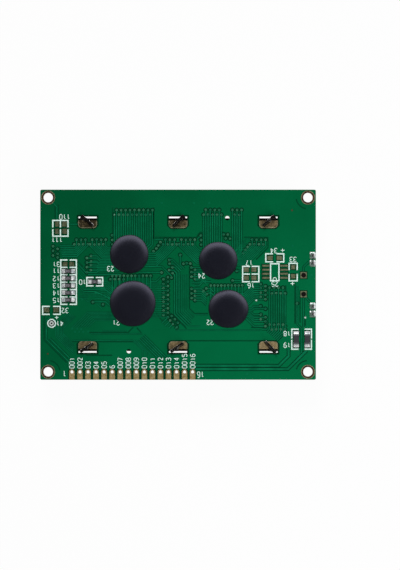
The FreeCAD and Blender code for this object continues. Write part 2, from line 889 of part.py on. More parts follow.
save("circuit_board", circuit_board())
save("bezel", bezel())
save("front_polarizer", block(film_w, film_h, z_front_film, z_front_glass))
save("front_glass", block(front_glass_w, front_glass_h, z_front_glass, z_seal))
seal_h = rear_glass_h - 2 * seal_w
save("cell_seal", frame_plate(front_glass_w, rear_glass_h, front_glass_w - 2 * seal_w, seal_h, z_seal, z_rear_glass))
save("rear_glass", block(front_glass_w, rear_glass_h, z_rear_glass, z_rear_film))
save("rear_polarizer", block(film_w, film_h, z_rear_film, z_diffuser))
save("contact_strip_upper", contact_strip(1))
save("contact_strip_lower", contact_strip(-1))
save("diffuser_sheet", diffuser_sheet())
save("light_guide", light_guide())
save("backlight_housing", backlight_housing())
save("led_board", led_board())
leds = [block(led_side, led_side, z_led_board - led_h, z_led_board, x, y) for x, y in led_places()]
save_group("backlight_leds", leds)
for number, y in enumerate(lead_ys, 1):
    save("backlight_lead_%d" % number, lead(y))
    save("lead_joint_%d" % number, lead_joint(y))
for name, (x, y, d) in drops.items():
    save("resin_drop_" + name, resin_drop(x, y, d))
    save("driver_die_" + name, driver_die(x, y))

soldered_pads = []
solder = []
for chips, chip, pad, span, upright in (
    (small_chips(), chip_small, pad_small, pad_small_span, False),
    (large_chips(), chip_large, pad_large, pad_large_span, True),
):
    for name, x, y in chips:
        soldered_pads += chip_pads(x, y, pad, span, upright)
        solder += [turned(wedge, x, y, upright) for wedge in solder_fillets(chip, pad, span)]
        save("resistor_" + name, turned(chip_body(chip), x, y, upright))
        save_group("ends_" + name, [turned(end, x, y, upright) for end in chip_ends(chip)])
save_group("resistor_solder", solder)
save_group("soldered_pads", soldered_pads)

empty_pads = soic_pads()
for side, inset, *rest in empty_places:
    empty_pads += pad_pair(side * (half_w - inset), *rest)
save_group("empty_pads", empty_pads)
save_group("tab_pads", tab_pads())
save_group("mounting_pads", mounting_pads())
save_group("header_pads", header_pads())
save_group("backlight_terminals", backlight_terminals())
lands = [prism(jumper_d, z_back, z_pad, jumper_x, jumper_y)]
for side, end, inset_x, inset_y in test_lands:
    lands.append(prism(test_land_d, z_back, z_pad, side * (half_w - inset_x), end * (half_h - inset_y)))
save_group("test_lands", lands)

side_x = half_w - side_bundle_from_right
side_end_y = side_bundle_bend_y - side_bundle_end_run
traces = upper_tracks() + fan_tracks() + header_tracks() + single_tracks()
traces += bent_bundle(side_x, side_bundle_tracks, side_bundle_tops, side_bundle_bend_y, -1, side_end_y)
middle_tops = (middle_bundle_top,)
traces += bent_bundle(
    middle_bundle_x, middle_bundle_tracks, middle_tops, middle_bundle_bend_y, 1, middle_bundle_end_y
)
save_group("copper_traces", traces)
save_group("printed_outlines", printed_outlines())
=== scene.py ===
import math

import bpy
import bmesh
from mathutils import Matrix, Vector


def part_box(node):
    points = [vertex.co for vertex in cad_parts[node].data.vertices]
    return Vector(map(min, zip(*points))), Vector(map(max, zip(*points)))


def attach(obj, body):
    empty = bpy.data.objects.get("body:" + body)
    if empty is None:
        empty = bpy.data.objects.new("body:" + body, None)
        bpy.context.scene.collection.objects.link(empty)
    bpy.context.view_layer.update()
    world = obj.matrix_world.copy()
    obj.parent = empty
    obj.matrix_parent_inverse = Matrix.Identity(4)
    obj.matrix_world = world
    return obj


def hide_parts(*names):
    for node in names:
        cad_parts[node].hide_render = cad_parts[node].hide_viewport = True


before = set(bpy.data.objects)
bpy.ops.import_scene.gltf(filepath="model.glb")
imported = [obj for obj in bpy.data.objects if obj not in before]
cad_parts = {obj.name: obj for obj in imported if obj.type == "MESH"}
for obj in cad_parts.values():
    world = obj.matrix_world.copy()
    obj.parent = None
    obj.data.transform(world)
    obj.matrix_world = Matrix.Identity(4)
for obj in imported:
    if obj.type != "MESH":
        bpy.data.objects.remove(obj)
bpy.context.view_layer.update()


# Camera
# It looks straight down on the module's back with a long lens, as a catalogue picture
# is taken, with the board a little left of the frame's middle.

MM = 0.001
PHOTO_W, PHOTO_H = 400, 570
PX_PER_MM = 3.168
BOARD_MIDDLE_PX = (178.05, 284.67)
CAMERA_AWAY = 0.9
board_low, board_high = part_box("circuit_board")
back = board_high.z

camera_data = bpy.data.cameras.new("camera")
camera_data.sensor_width = 36.0
camera_data.lens = camera_data.sensor_width * CAMERA_AWAY / (PHOTO_H / PX_PER_MM * MM)
camera = bpy.data.objects.new("camera", camera_data)
camera_x = (PHOTO_W / 2 - BOARD_MIDDLE_PX[0]) / PX_PER_MM * MM
camera_y = (BOARD_MIDDLE_PX[1] - PHOTO_H / 2) / PX_PER_MM * MM
camera.location = (camera_x, camera_y, back + CAMERA_AWAY)
bpy.context.scene.collection.objects.link(camera)
bpy.context.scene.camera = camera
bpy.context.scene.view_settings.view_transform = "Standard"


# Circuit board
# One sheet of glass-fibre laminate, etched, drilled and routed to size. Both faces are
# curtain-coated with green solder mask; the routed edge shows the bare straw laminate.

def colour(text):
    """A linear RGBA colour from an sRGB hex value."""
    shares = [int(text[i:i + 2], 16) / 255 for i in (1, 3, 5)]
    return [s / 12.92 if s <= 0.04045 else ((s + 0.055) / 1.055) ** 2.4 for s in shares] + [1.0]


def node(tree, kind, sockets=None, **settings):
    """Adds a node. A socket is given a plain value or another node's output."""
    made = tree.nodes.new(kind)
    for name, value in settings.items():
        setattr(made, name, value)
    for name, value in (sockets or {}).items():
        if isinstance(value, bpy.types.NodeSocket):
            tree.links.new(value, made.inputs[name])
        else:
            made.inputs[name].default_value = value
    return made


def finish(name, **uniform):
    """A new material with its shader; the named sockets are the same all over the surface."""
    material = bpy.data.materials.new(name)
    material.use_nodes = True
    tree = material.node_tree
    shader = tree.nodes["Principled BSDF"]
    for title, value in uniform.items():
        shader.inputs[title.replace("_", " ")].default_value = value
    place = node(tree, "ShaderNodeTexCoord").outputs["Object"]
    return material, tree, shader, place


# Where a Mix node keeps its two colours and its mixed colour, among its other sockets
MIX_FIRST, MIX_SECOND, MIX_RESULT = 6, 7, 2


def mottled(name, first, second, blotch_mm, spread=None, grain=None, detail=2.0, **uniform):
    """A finish that wanders between two colours in soft blotches, blotch_mm across.

    Where spread is given, it turns over between those two values of the blotches' noise.
    Grain is how strongly they stand out of the surface, and how many millimetres.
    """
    material, tree, shader, place = finish(name, **uniform)
    noise = {"Vector": place, "Scale": 1 / (blotch_mm * MM), "Detail": detail}
    share = node(tree, "ShaderNodeTexNoise", noise).outputs["Fac"]
    if spread:
        spread = {"Value": share, "From Min": spread[0], "From Max": spread[1]}
        share = node(tree, "ShaderNodeMapRange", spread).outputs["Result"]
    mix = {"Factor": share, MIX_FIRST: colour(first), MIX_SECOND: colour(second)}
    mix = node(tree, "ShaderNodeMix", mix, data_type="RGBA")
    tree.links.new(mix.outputs[MIX_RESULT], shader.inputs["Base Color"])
    if grain:
        bump = {"Height": share, "Strength": grain[0], "Distance": grain[1] * MM}
        bump = node(tree, "ShaderNodeBump", bump)
        tree.links.new(bump.outputs["Normal"], shader.inputs["Normal"])
    return material


def set_finish(names, material):
    """Gives the source's pieces of these names one material."""
    for name in names:
        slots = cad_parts[name].data.materials
        slots.clear()
        slots.append(material)


# Solder mask: a glossy green epoxy ink. Over copper it is the lighter green; it varies a
# little in thickness, and the laminate's weave prints through it very faintly.
MASK_OVER_COPPER = "#005430"
# The lighter green is painted light, which the mask takes on towards the lower right
MASK_PAINTED_LIGHT = "#006A3F"
MASK_OVER_LAMINATE = "#002B17"
MASK_ON_EDGES = "#08754D"
MASK_BLOTCH_MM = 14.0
WEAVE_MM = 0.55
PLY_MM = 0.2

# The mask is painted lighter towards the board's lower right, as painted light: this much for each metre that
# way
PAINTED_LIGHT_RUN = (9.0, -9.0, 0.0)

mask_copper, tree, shader, place = finish("solder_mask_over_copper", Roughness=0.3, IOR=1.5,
                                          Specular_IOR_Level=0.17)
noise = {"Vector": place, "Scale": 1 / (MASK_BLOTCH_MM * MM), "Detail": 2.0}
blotches = node(tree, "ShaderNodeTexNoise", noise).outputs["Fac"]
# Painted light: the green runs lighter towards the lower right, mixed with the real blotches of thickness
run = {0: place, 1: PAINTED_LIGHT_RUN}
run = node(tree, "ShaderNodeVectorMath", run, operation="DOT_PRODUCT").outputs["Value"]
run = node(tree, "ShaderNodeMath", {0: run, 1: blotches}, operation="ADD").outputs[0]
run = node(tree, "ShaderNodeMapRange", {"Value": run}).outputs["Result"]
mix = {"Factor": run, MIX_FIRST: colour(MASK_OVER_COPPER), MIX_SECOND: colour(MASK_PAINTED_LIGHT)}
mask_colour = node(tree, "ShaderNodeMix", mix, data_type="RGBA").outputs[MIX_RESULT]

# Its faces carry the mask, and its routed edge shows the plies of straw-coloured laminate
facing = node(tree, "ShaderNodeNewGeometry").outputs["True Normal"]
facing = node(tree, "ShaderNodeSeparateXYZ", {"Vector": facing}).outputs["Z"]
facing = node(tree, "ShaderNodeMath", {0: facing}, operation="ABSOLUTE").outputs[0]
facing = {"Value": facing, "From Min": 0.45, "From Max": 0.55}
is_face = node(tree, "ShaderNodeMapRange", facing).outputs["Result"]
height = node(tree, "ShaderNodeSeparateXYZ", {"Vector": place}).outputs["Z"]
plies = {0: height, 1: math.tau / (PLY_MM * MM)}
plies = node(tree, "ShaderNodeMath", plies, operation="MULTIPLY").outputs[0]
plies = node(tree, "ShaderNodeMath", {0: plies}, operation="SINE").outputs[0]
plies = node(tree, "ShaderNodeMapRange", {"Value": plies, "From Min": -1.0}).outputs["Result"]
mix = {"Factor": plies, MIX_FIRST: colour("#8C8B52"), MIX_SECOND: colour("#B3AE78")}
laminate = node(tree, "ShaderNodeMix", mix, data_type="RGBA").outputs[MIX_RESULT]
mix = {"Factor": is_face, MIX_FIRST: laminate, MIX_SECOND: mask_colour}
mix = node(tree, "ShaderNodeMix", mix, data_type="RGBA")
tree.links.new(mix.outputs[MIX_RESULT], shader.inputs["Base Color"])
weave = {"Vector": place, "Scale": 1 / (WEAVE_MM * MM)}
weave = node(tree, "ShaderNodeTexVoronoi", weave, distance="CHEBYCHEV").outputs["Distance"]
bump = {"Height": weave, "Strength": 0.12, "Distance": 0.02 * MM}
tree.links.new(node(tree, "ShaderNodeBump", bump).outputs["Normal"], shader.inputs["Normal"])
set_finish(["circuit_board"], mask_copper)

# Over bare laminate the same ink is darker, because no copper shines through it
mask_laminate = mottled("solder_mask_over_laminate", MASK_OVER_LAMINATE, "#003A20", 5.0,
                        Roughness=0.42, Specular_IOR_Level=0.15)


# Copper traces
# Etched from the back's copper foil and buried under the mask, so each shows as a low
# light rib with a dark line each side, where the foil was cleared down to the laminate.

TRACK_W = 0.3
FINE_TRACK_W = 0.2
TRACK_H = 0.022
CLEARED_W = 0.86
FINE_CLEARED_W = 0.5
CLEARED_H = 0.006
PITCH = 0.706

# Neighbours differ in height by a hair, in turn, so that no two faces coincide where
# their clearings overlap; fine tracks and their clearings are sunk a little more
STAGGER_H = 0.0007
STAGGERS = 11
FINE_SUNK = 0.002
FINE_CLEARED_SUNK = 0.0004

# A step along a 45 degree slant, across or down
SLANT = math.sqrt(0.5)

# The mask is drawn thin over a trace, so it looks paler there
mask_trace = mottled("solder_mask_over_trace", "#04603E", MASK_ON_EDGES, 3.0, spread=(0.3, 0.7),
                     Roughness=0.3, Specular_IOR_Level=0.17)

# Between traces, where the foil was cleared, it is darker, but less so than over wide gaps
mask_gap = mottled("solder_mask_between_traces", "#004024", "#004B2C", 4.0,
                   Roughness=0.35, Specular_IOR_Level=0.17)


def lines_tree():
    """A low flat rib along every polyline, its corners rounded."""
    made = bpy.data.node_groups.new("flat_ribs", "GeometryNodeTree")
    made.interface.new_socket("Lines", in_out="INPUT", socket_type="NodeSocketGeometry")
    for title in ("Width", "Height", "Corner radius"):
        made.interface.new_socket(title, in_out="INPUT", socket_type="NodeSocketFloat")
    made.interface.new_socket("Finish", in_out="INPUT", socket_type="NodeSocketMaterial")
    made.interface.new_socket("Ribs", in_out="OUTPUT", socket_type="NodeSocketGeometry")
    given = node(made, "NodeGroupInput").outputs
    curve = node(made, "GeometryNodeMeshToCurve", {"Mesh": given["Lines"]}).outputs["Curve"]
    rounding = {"Curve": curve, "Radius": given["Corner radius"], "Limit Radius": True, "Count": 3}
    curve = node(made, "GeometryNodeFilletCurve", rounding, mode="POLY").outputs["Curve"]
    curve = node(made, "GeometryNodeSetCurveNormal", {"Curve": curve}, mode="Z_UP").outputs["Curve"]
    sides = {"Width": given["Width"], "Height": given["Height"]}
    section = node(made, "GeometryNodeCurvePrimitiveQuadrilateral", sides)
    solid = {"Curve": curve, "Profile Curve": section.outputs["Curve"], "Fill Caps": True}
    ribs = node(made, "GeometryNodeCurveToMesh", solid).outputs["Mesh"]
    flat = {"Geometry": ribs, "Shade Smooth": False}
    ribs = node(made, "GeometryNodeSetShadeSmooth", flat).outputs["Geometry"]
    ribs = node(made, "GeometryNodeRealizeInstances", {"Geometry": ribs}).outputs["Geometry"]
    painted = {"Geometry": ribs, "Material": given["Finish"]}
    ribs = node(made, "GeometryNodeSetMaterial", painted).outputs["Geometry"]
    node(made, "NodeGroupOutput", {"Ribs": ribs})
    return made


def grow(tree, name, mesh, slot, **sizes):
    """Runs a tree on a mesh and keeps its result as a plain mesh that rides on the module."""
    piece = bpy.data.objects.new(name, mesh)
    bpy.context.scene.collection.objects.link(piece)
    modifier = piece.modifiers.new("grow", "NODES")
    modifier.node_group = tree
    sockets = {item.name: item.identifier for item in tree.interface.items_tree if item.in_out == "INPUT"}
    for title, value in sizes.items():
        modifier[sockets[title.replace("_", " ")]] = value
    bpy.context.view_layer.update()
    grown = piece.evaluated_get(bpy.context.evaluated_depsgraph_get())
    result = bpy.data.meshes.new_from_object(grown)
    piece.modifiers.clear()
    piece.data = result
    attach(piece, "root")
    return piece


def wire_mesh(routes, middle_h, stagger=0.0, base=back):
    """Polylines in millimetres as a mesh of edges, middle_h above the board's back or another base."""
    points, edges = [], []
    for number, route in enumerate(routes):
        closed = route[0] == route[-1]
        corners = route[:-1] if closed else route
        first = len(points)
        z = base + (middle_h + stagger * (number % STAGGERS)) * MM
        points += [(x * MM, y * MM, z) for x, y in corners]
        edges += [(first + i, first + i + 1) for i in range(len(corners) - 1)]
        if closed:
            edges.append((len(points) - 1, first))
    mesh = bpy.data.meshes.new("wires")
    mesh.from_pydata(points, edges, [])
    return mesh


drops = {}
for name in ("u1", "u2", "u3", "u4"):
    low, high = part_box("resin_drop_" + name)
    drops[name] = ((low.x + high.x) / 2 / MM, (low.y + high.y) / 2 / MM, (high.x - low.x) / 2 / MM)


def to_drop(x, y, dx, dy, drop):
    """Where a line from x, y towards dx, dy goes under a drop's rim."""
    cx, cy, r = drops[drop]
    along = dx * (cx - x) + dy * (cy - y)
    aside = (cx - x) ** 2 + (cy - y) ** 2 - along ** 2
    run = along - math.sqrt(max((r - 0.3) ** 2 - aside, 0.0))
    return x + run * dx, y + run * dy


tracks = []
fine_tracks = []
vias = []


def rows(x, count, low_y, high_y, high_first=False):
    """Places in two staggered rows, a track's pitch apart."""
    return [(x + i * PITCH, high_y if (i % 2 == 0) == high_first else low_y) for i in range(count)]


# Straight bundles from the upper edge down to the two upper drops
for drop, starts in (
    ("u3", rows(-20.1, 18, 22.1, 23.55)),
    ("u4", rows(8.05, 9, 22.1, 23.6)),
    ("u4", rows(17.2, 5, 22.1, 23.6, True)),
):
    cx, cy, r = drops[drop]
    vias += starts
    for x, y in starts:
        past = abs(x - cx) - SLANT * r
        if past < PITCH:
            tracks.append([(x, y), to_drop(x, y, 0, -1, drop)])
        else:
            bend_y = cy + SLANT * r - past * (math.sqrt(2) - 1)
            way = -math.copysign(SLANT, x - cx)
            tracks.append([(x, y), (x, bend_y), to_drop(x, bend_y, way, -SLANT, drop)])

# Fans: first place, count, way, first level, step between levels, drop or length
FAN_Y = 12.3
for x, count, way, level, step, end in (
    (-32.75, 7, -1, 12.3, -0.567, 4.6),
    (-27.8, 8, 1, 8.4, 0.46, "u3"),
    (-4.68, 7, -1, 9.9, -0.68, "u3"),
    (0.34, 8, 1, 6.8, 0.56, "u4"),
    (22.7, 8, -1, 9.1, -0.42, "u4"),
):
    starts = rows(x, count, 12.75, 14.2)
    vias += starts
    for i, (x, y) in enumerate(starts):
        y_level = level + i * step
        bend_x = x + way * (FAN_Y - y_level)
        last = to_drop(bend_x, y_level, way, 0, end) if end in drops else (bend_x + way * end, y_level)
        tracks.append([(x, y), (x, FAN_Y + 0.01), (bend_x, y_level), last])

# Places in columns beside a drop, each with a level run and a slant in to the drop:
# column places, the level runs' end, and the levels that they take at the drop
left_starts = [(-27.5, 9.1), (-28.8, 8.4), (-27.5, 7.4), (-28.8, 7.0), (-27.5, 6.2), (-28.8, 5.55)]
left_starts += [(-27.55, 4.6), (-28.85, 3.9)]
right_starts = [(26.1 + 1.5 * (i % 2), 0.24 - 0.69 * i) for i in range(8)]
low_starts = [(26.1, -6.8), (27.6, -7.6), (26.1, -9.45), (27.6, -10.3), (26.1, -10.94), (27.6, -11.6)]
low_starts += [(27.6, -13.1)]
beside = [(start, -25.6, 7.9 - 0.5 * i, "u3") for i, start in enumerate(left_starts)]
beside += [(start, 23.9, -2.9 - 0.5 * i, "u2") for i, start in enumerate(right_starts)]
beside += [(start, 23.9, -7.6 - 0.5 * i, "u2") for i, start in enumerate(low_starts)]
for (x, y), turn_x, level, drop in beside:
    vias.append((x, y))
    way = math.copysign(1.0, drops[drop][0] - x)
    bend_x = turn_x + way * abs(y - level)
    tracks.append([(x, y), (turn_x, y), (bend_x, level), to_drop(bend_x, level, way, 0, drop)])

# Rows above the two lower drops, and the two double columns between them
for x, y in [(-20.76 + 1.21 * i, 2.8) for i in range(11)] + [(-21.4 + 1.4 * i, 1.7) for i in range(4)]:
    vias.append((x, y))
    if abs(x - drops["u1"][0]) < 6.6:
        tracks.append([(x, y), to_drop(x, y, 0, -1, "u1")])
for i in range(10):
    x = 10.35 + 1.1 * i
    vias.append((x, -0.25))
    if abs(x - drops["u2"][0]) < 5.8:
        tracks.append([(x, -0.25), to_drop(x, -0.25, 0, -1, "u2")])
for i in range(19):
    x, y = (-3.2, -4.6)[i % 2], 2.35 - 0.7 * i
    vias.append((x, y))
    if abs(y - drops["u1"][1]) < 6.4:
        fine_tracks.append([(x, y), to_drop(x, y, -1, 0, "u1")])
for i in range(12):
    x, y = (4.25, 5.35)[i % 2], 5.4 - 0.72 * i - (2.4 if i > 5 else 0.0)
    vias.append((x, y))
    tracks.append([(x, y), (7.4, y), (8.9, y - 1.5)])

# The bundle down the right, which turns in below, and the three down the middle
for i in range(8):
    x, y = 28.9 + 0.7 * i, (-0.95, -2.7)[i % 2]
    bend_y = -14.0 - 0.16 * i
    vias += [(x, y), (x, (-12.6, -14.1)[i % 2])]
    tracks.append([(x, y), (x, bend_y), (x - 0.9 - 0.24 * i, bend_y - 0.9 - 0.24 * i)])
for i, turns in enumerate((
    [(-1.7, 3.7), (-1.1, 3.1)],
    [(-2.8, 4.6), (-1.4, 4.6), (-0.394, 3.6)],
    [(-1.76, 5.5), (-1.1, 5.5), (0.312, 4.1)],
)):
    x = turns[-1][0]
    bend_y = -9.3 + 0.29 * i
    tracks.append(turns + [(x, bend_y), (x + 3.7, bend_y - 3.7)])
for i in range(4):
    x = 1.0 + 0.62 * i
    bend_y = -8.6 + 0.26 * i
    fine_tracks.append([(x, 3.2), (x, bend_y), (x + 2.9 - 0.2 * i, bend_y - 2.9 + 0.2 * i)])

# Fine tracks in to the lower left drop: level ones that slant in from its left, and a
# slanting bundle from the places below them
for i in range(9):
    y = 1.0 - PITCH * i
    fine_tracks.append([(-24.4, y), (-22.4, y), to_drop(-22.4, y, SLANT, -SLANT, "u1")])
for i in range(7):
    x, level = -33.4 + 0.83 * i, -8.7 - 0.42 * i
    fine_tracks.append([(x, -13.5), (x + 13.5 + level, level), to_drop(x + 13.5 + level, level, 1, 0, "u1")])

# Hooked tracks from places left of the upper right fan
hooks = ((23.4, 14.3, 21.5), (22.7, 12.95, 20.75), (22.0, 11.9, 20.4), (21.3, 11.0, 20.0), (20.6, 10.0, 19.9))
for x, y, turn_x in hooks:
    fine_tracks.append([(x, y), (turn_x, y), to_drop(turn_x, y, -SLANT, -SLANT, "u4")])

# Slanting tracks to the header's middle, and a nest of them round the lower left corner
for i in range(4):
    x, y = -10.8 - 0.48 * i, -15.9 - 0.44 * i
    tracks.append([(x, y), (x + y + 23.0, -23.0)])
for i in range(3):
    x, turn_x = -13.2 - 0.5 * i, -8.6 - 1.3 * i
    fine_tracks.append([(x, -17.6), (turn_x, -17.6 - turn_x + x), (turn_x, -22.7)])
for i in range(6):
    x, top_y, low_y = -38.6 + 0.46 * i, -12.9 - 0.19 * i, -16.4 + 0.19 * i
    down = min(5.4, -32.8 - x)
    fine_tracks.append([(x + 3.9, top_y + 3.9), (x, top_y), (x, low_y), (x + down, low_y - down)])

# Single tracks and places
tracks += [
    [(-39.7, 26.0), (-38.25, 24.6), (-38.25, 19.6)],
    [(-35.4, 19.1), (-31.7, 19.1)],
    [(-31.4, 6.3), (-29.0, 3.7)],
    [(-2.75, 7.85), (-1.7, 7.85), (1.2, 5.0)],
    [(-2.75, 6.55), (-1.3, 6.55), (0.9, 4.4)],
    [(5.35, 1.45), (6.2, 1.45), (6.6, 1.8), (8.2, 1.8)],
    [(4.25, 0.6), (6.9, 0.6), (7.9, 1.6)],
    [(5.2, -0.35), (6.6, -0.35), (7.9, 0.95), (10.4, 0.95)],
    [(8.9, -1.2), (10.2, -1.2), (11.4, -2.4)],
    [(9.1, -3.0), (9.5, -2.65), (10.5, -2.65), (11.3, -3.4)],
    [(-3.5, -10.6), (-5.1, -12.2)],
    [(-2.5, -11.4), (-4.1, -13.0)],
    [(-1.6, -12.4), (-2.8, -13.6)],
    [(-0.4, -13.4), (-1.1, -14.1)],
    [(26.5, -14.05), (28.2, -14.05)],
    [(-28.4, 3.2), (-18.0, 3.2)],
    [(-41.6, -17.2), (-41.6, -11.4), (-40.2, -10.0)],
    [(-41.6, -17.2), (-34.6, -24.2), (-34.6, -26.0)],
    [(-40.5, -16.9), (-34.4, -23.0)],
    [(-30.0, -1.4), (-23.2, -1.4), (-21.2, -2.9)],
    [(-29.6, -2.2), (-26.0, -2.2), (-21.4, -4.4)],
    [(-26.9, -5.4), (-22.9, -5.4), (-21.6, -6.6)],
    [(-12.4, 3.9), (-5.2, 3.9)],
    [(-5.2, 2.6), (-7.0, 0.9), (-8.9, 0.9)],
    [(-9.2, 5.75), (-5.1, 5.75), (-2.05, 2.7)],
    [(-4.68, 14.2), (-7.4, 14.2)],
    [(7.18, 15.5), (6.05, 14.4)],
    [(0.7, 9.4), (0.7, 6.3), (2.0, 5.0)],
    [(18.5, 4.35), (20.0, 4.35)],
    [(17.2, 1.3), (20.2, 1.3)],
    [(37.55, -0.4), (37.55, -12.4), (38.95, -13.8), (38.95, -21.5)],
    [(39.63, -4.2), (39.63, -13.4)],
    [(39.6, 4.2), (39.6, 5.6), (41.5, 7.4)],
    [(40.3, -4.0), (41.7, -5.5)],
]
fine_tracks += [
    [(-31.4, 5.2), (-29.6, 3.4)],
    [(-31.2, 3.3), (-29.4, 1.5)],
    [(-31.6, -0.4), (-29.8, -2.2)],
    [(-31.6, -2.4), (-30.4, -2.4), (-29.9, -2.9), (-24.6, -2.9)],
    [(-31.3, -3.6), (-28.2, -3.6)],
    [(-31.2, -4.3), (-28.4, -4.3)],
    [(-29.3, -4.6), (-28.6, -5.3), (-28.0, -5.3), (-27.3, -4.6)],
    [(-26.5, -0.9), (-23.0, -0.9)],
    [(-27.8, -3.6), (-24.0, -3.6)],
    [(-26.3, -4.4), (-23.4, -4.4)],
    [(-25.4, -6.3), (-23.9, -7.8)],
    [(-9.3, 7.2), (-5.2, 7.2)],
    [(-24.0, -14.6), (-16.2, -14.6)],
    [(-27.5, -15.5), (-11.2, -15.5)],
    [(-33.5, -17.6), (-14.2, -17.6)],
    [(3.0, -13.1), (7.0, -13.1)],
    [(-0.7, -14.35), (26.4, -14.35)],
    [(5.6, -9.45), (9.4, -9.45)],
]
vias += [(-39.46, 12.1), (-39.46, 10.67), (-39.46, 9.22), (-38.0, 11.3), (-38.0, 9.8), (-38.0, 8.6)]
vias += [(-20.8, 15.6), (-20.8, 14.1), (-20.7, 12.6), (-5.57, 13.4), (-6.23, 12.4), (-6.84, 11.45)]
vias += [(-1.6, -12.4), (-0.4, -13.4), (-2.0, -9.9), (-0.1, -12.0)]
vias += [(-7.75, 10.5), (7.18, 15.5), (7.25, 14.1), (7.3, 12.6), (14.4, 15.9), (15.7, 15.85)]
vias += [(15.05, 14.6), (16.4, 14.5), (22.0, 11.9), (21.3, 11.0), (20.6, 10.0), (-2.75, 7.8)]
vias += [(-2.75, 6.6), (-1.76, 5.5), (-2.8, 4.6), (-1.7, 3.7), (-2.05, 2.2), (-5.2, 3.86)]
vias += [(0.7, 9.4), (1.7, 6.6), (2.74, 6.8), (3.87, 6.65), (8.9, -1.2), (8.0, -2.0)]
vias += [(9.1, -3.0), (-2.5, -11.3), (-1.0, -10.9), (18.5, 4.35), (17.2, 1.3), (37.55, -5.9)]
vias += [(-26.9, -5.5), (-23.7, -6.3)]

# Places in the middle of the copper, where little more than the dimple shows
faint_vias = [(-33.4, -13.9), (-31.9, -13.9), (-30.6, -14.0), (-32.6, -14.85), (-31.2, -14.9)]
faint_vias += [(-29.9, -14.85), (-28.4, -14.8), (-26.0, -2.4), (-30.3, -4.7), (-5.15, 25.8), (5.0, 25.7)]
faint_vias += [(9.86, 25.8), (36.15, 12.2), (42.07, 3.0), (17.2, -28.1), (28.6, -24.2), (21.7, -28.2)]

flat_ribs = lines_tree()
ribs = grow(flat_ribs, "masked_traces", wire_mesh(tracks, TRACK_H / 2, STAGGER_H), "masked_copper",
            Width=TRACK_W * MM, Height=TRACK_H * MM, Finish=mask_trace)
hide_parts("copper_traces")
grow(flat_ribs, "trace_clearings", wire_mesh(tracks, CLEARED_H / 2, STAGGER_H), "masked_copper",
     Width=CLEARED_W * MM, Height=CLEARED_H * MM, Finish=mask_gap)
grow(flat_ribs, "fine_traces", wire_mesh(fine_tracks, TRACK_H / 2 - FINE_SUNK, STAGGER_H), "masked_copper",
     Width=FINE_TRACK_W * MM, Height=TRACK_H * MM, Finish=mask_trace)
fine_wires = wire_mesh(fine_tracks, CLEARED_H / 2 - FINE_CLEARED_SUNK, STAGGER_H)
grow(flat_ribs, "fine_clearings", fine_wires, "masked_copper",
     Width=FINE_CLEARED_W * MM, Height=CLEARED_H * MM, Finish=mask_gap)

# The two wide supply tracks at the lower right
SUPPLY_W = 0.72
supply = [
    [(5.6, -25.6), (31.8, -25.6), (34.9, -22.5), (34.9, -20.3)],
    [(5.6, -26.65), (34.7, -26.65), (40.6, -20.75)],
]
grow(flat_ribs, "supply_traces", wire_mesh(supply, TRACK_H / 2), "masked_copper",
     Width=SUPPLY_W * MM, Height=TRACK_H * MM, Finish=mask_trace)
grow(flat_ribs, "supply_clearings", wire_mesh(supply, CLEARED_H / 2, STAGGER_H), "masked_copper",
     Width=(SUPPLY_W + CLEARED_W - TRACK_W) * MM, Height=CLEARED_H * MM, Finish=mask_laminate)

# Cleared lines that part one area of copper from the next
LINE_W = 0.42
lines = [
    [(-28.0, -15.1), (-15.8, -15.1), (-14.2, -13.5)],
    [(-36.4, -16.1), (-34.5, -18.0), (-13.6, -18.0)],
    [(-29.0, -22.3), (-20.8, -22.3)],
    [(-11.6, -15.2), (-13.0, -13.6)],
    [(-1.0, -17.7), (31.3, -17.7), (33.3, -15.7)],
    [(-20.65, 24.4), (-20.65, 16.2)],
    [(-7.65, 24.4), (-7.65, 14.4)],
    [(3.6, 5.6), (3.6, -7.5), (5.2, -9.1), (9.5, -9.1)],
    [(0.2, -11.4), (2.7, -13.9)],
    [(-2.3, -9.0), (0.8, -12.0)],
    [(23.0, -13.5), (28.0, -13.5)],
    [(-7.4, 14.95), (5.9, 14.95), (6.5, 16.1), (7.2, 16.6), (7.9, 16.2)],
    [(8.0, 14.3), (9.4, 12.9)],
    [(-32.3, 8.0), (-30.0, 5.7)],
    [(-28.9, 2.7), (-22.4, 2.7)],
    [(40.15, -11.0), (40.15, -13.0)],
    [(38.5, -4.0), (38.5, -12.0)],
    [(-7.2, -8.6), (-5.2, -11.2), (-3.4, -11.2)],
    [(-38.85, 25.2), (-38.85, 20.5)],
    [(-37.75, 25.4), (-37.75, 22.4)],
    [(20.8, 14.95), (28.4, 14.95), (28.4, 11.7), (24.6, 7.9)],
    [(34.0, -0.2), (34.0, -12.6), (34.6, -13.2)],
    [(36.9, 0.6), (36.9, -12.3)],
    [(-42.0, -8.9), (-42.3, -11.2), (-42.3, -17.5), (-35.2, -24.6)],
]

# The mask pools in so narrow a gap, and reads as a dark hairline
parted = mottled("solder_mask_over_narrow_gap", "#003D24", "#004B2C", 4.0,
                 Roughness=0.35, Specular_IOR_Level=0.17)

# Round three of the mounting holes the copper keeps clear of the screw's washer
HOLE_X, HOLE_Y, WASHER_R = 41.0, 27.7, 3.75
for x, y, start in ((HOLE_X, HOLE_Y, 190), (-HOLE_X, -HOLE_Y, 10), (HOLE_X, -HOLE_Y, 95)):
    turns = [math.radians(start + 7 * i) for i in range(11)]
    lines.append([(x + WASHER_R * math.cos(t), y + WASHER_R * math.sin(t)) for t in turns])
grow(flat_ribs, "copper_partings", wire_mesh(lines, CLEARED_H / 2, STAGGER_H), "masked_copper",
     Width=LINE_W * MM, Height=CLEARED_H * MM, Finish=parted)


# Through holes under the mask
# Small plated holes that carry a track to the board's other face. Their lands are tented
# with mask, which thins over the rim and sinks into the hole in a small dimple.

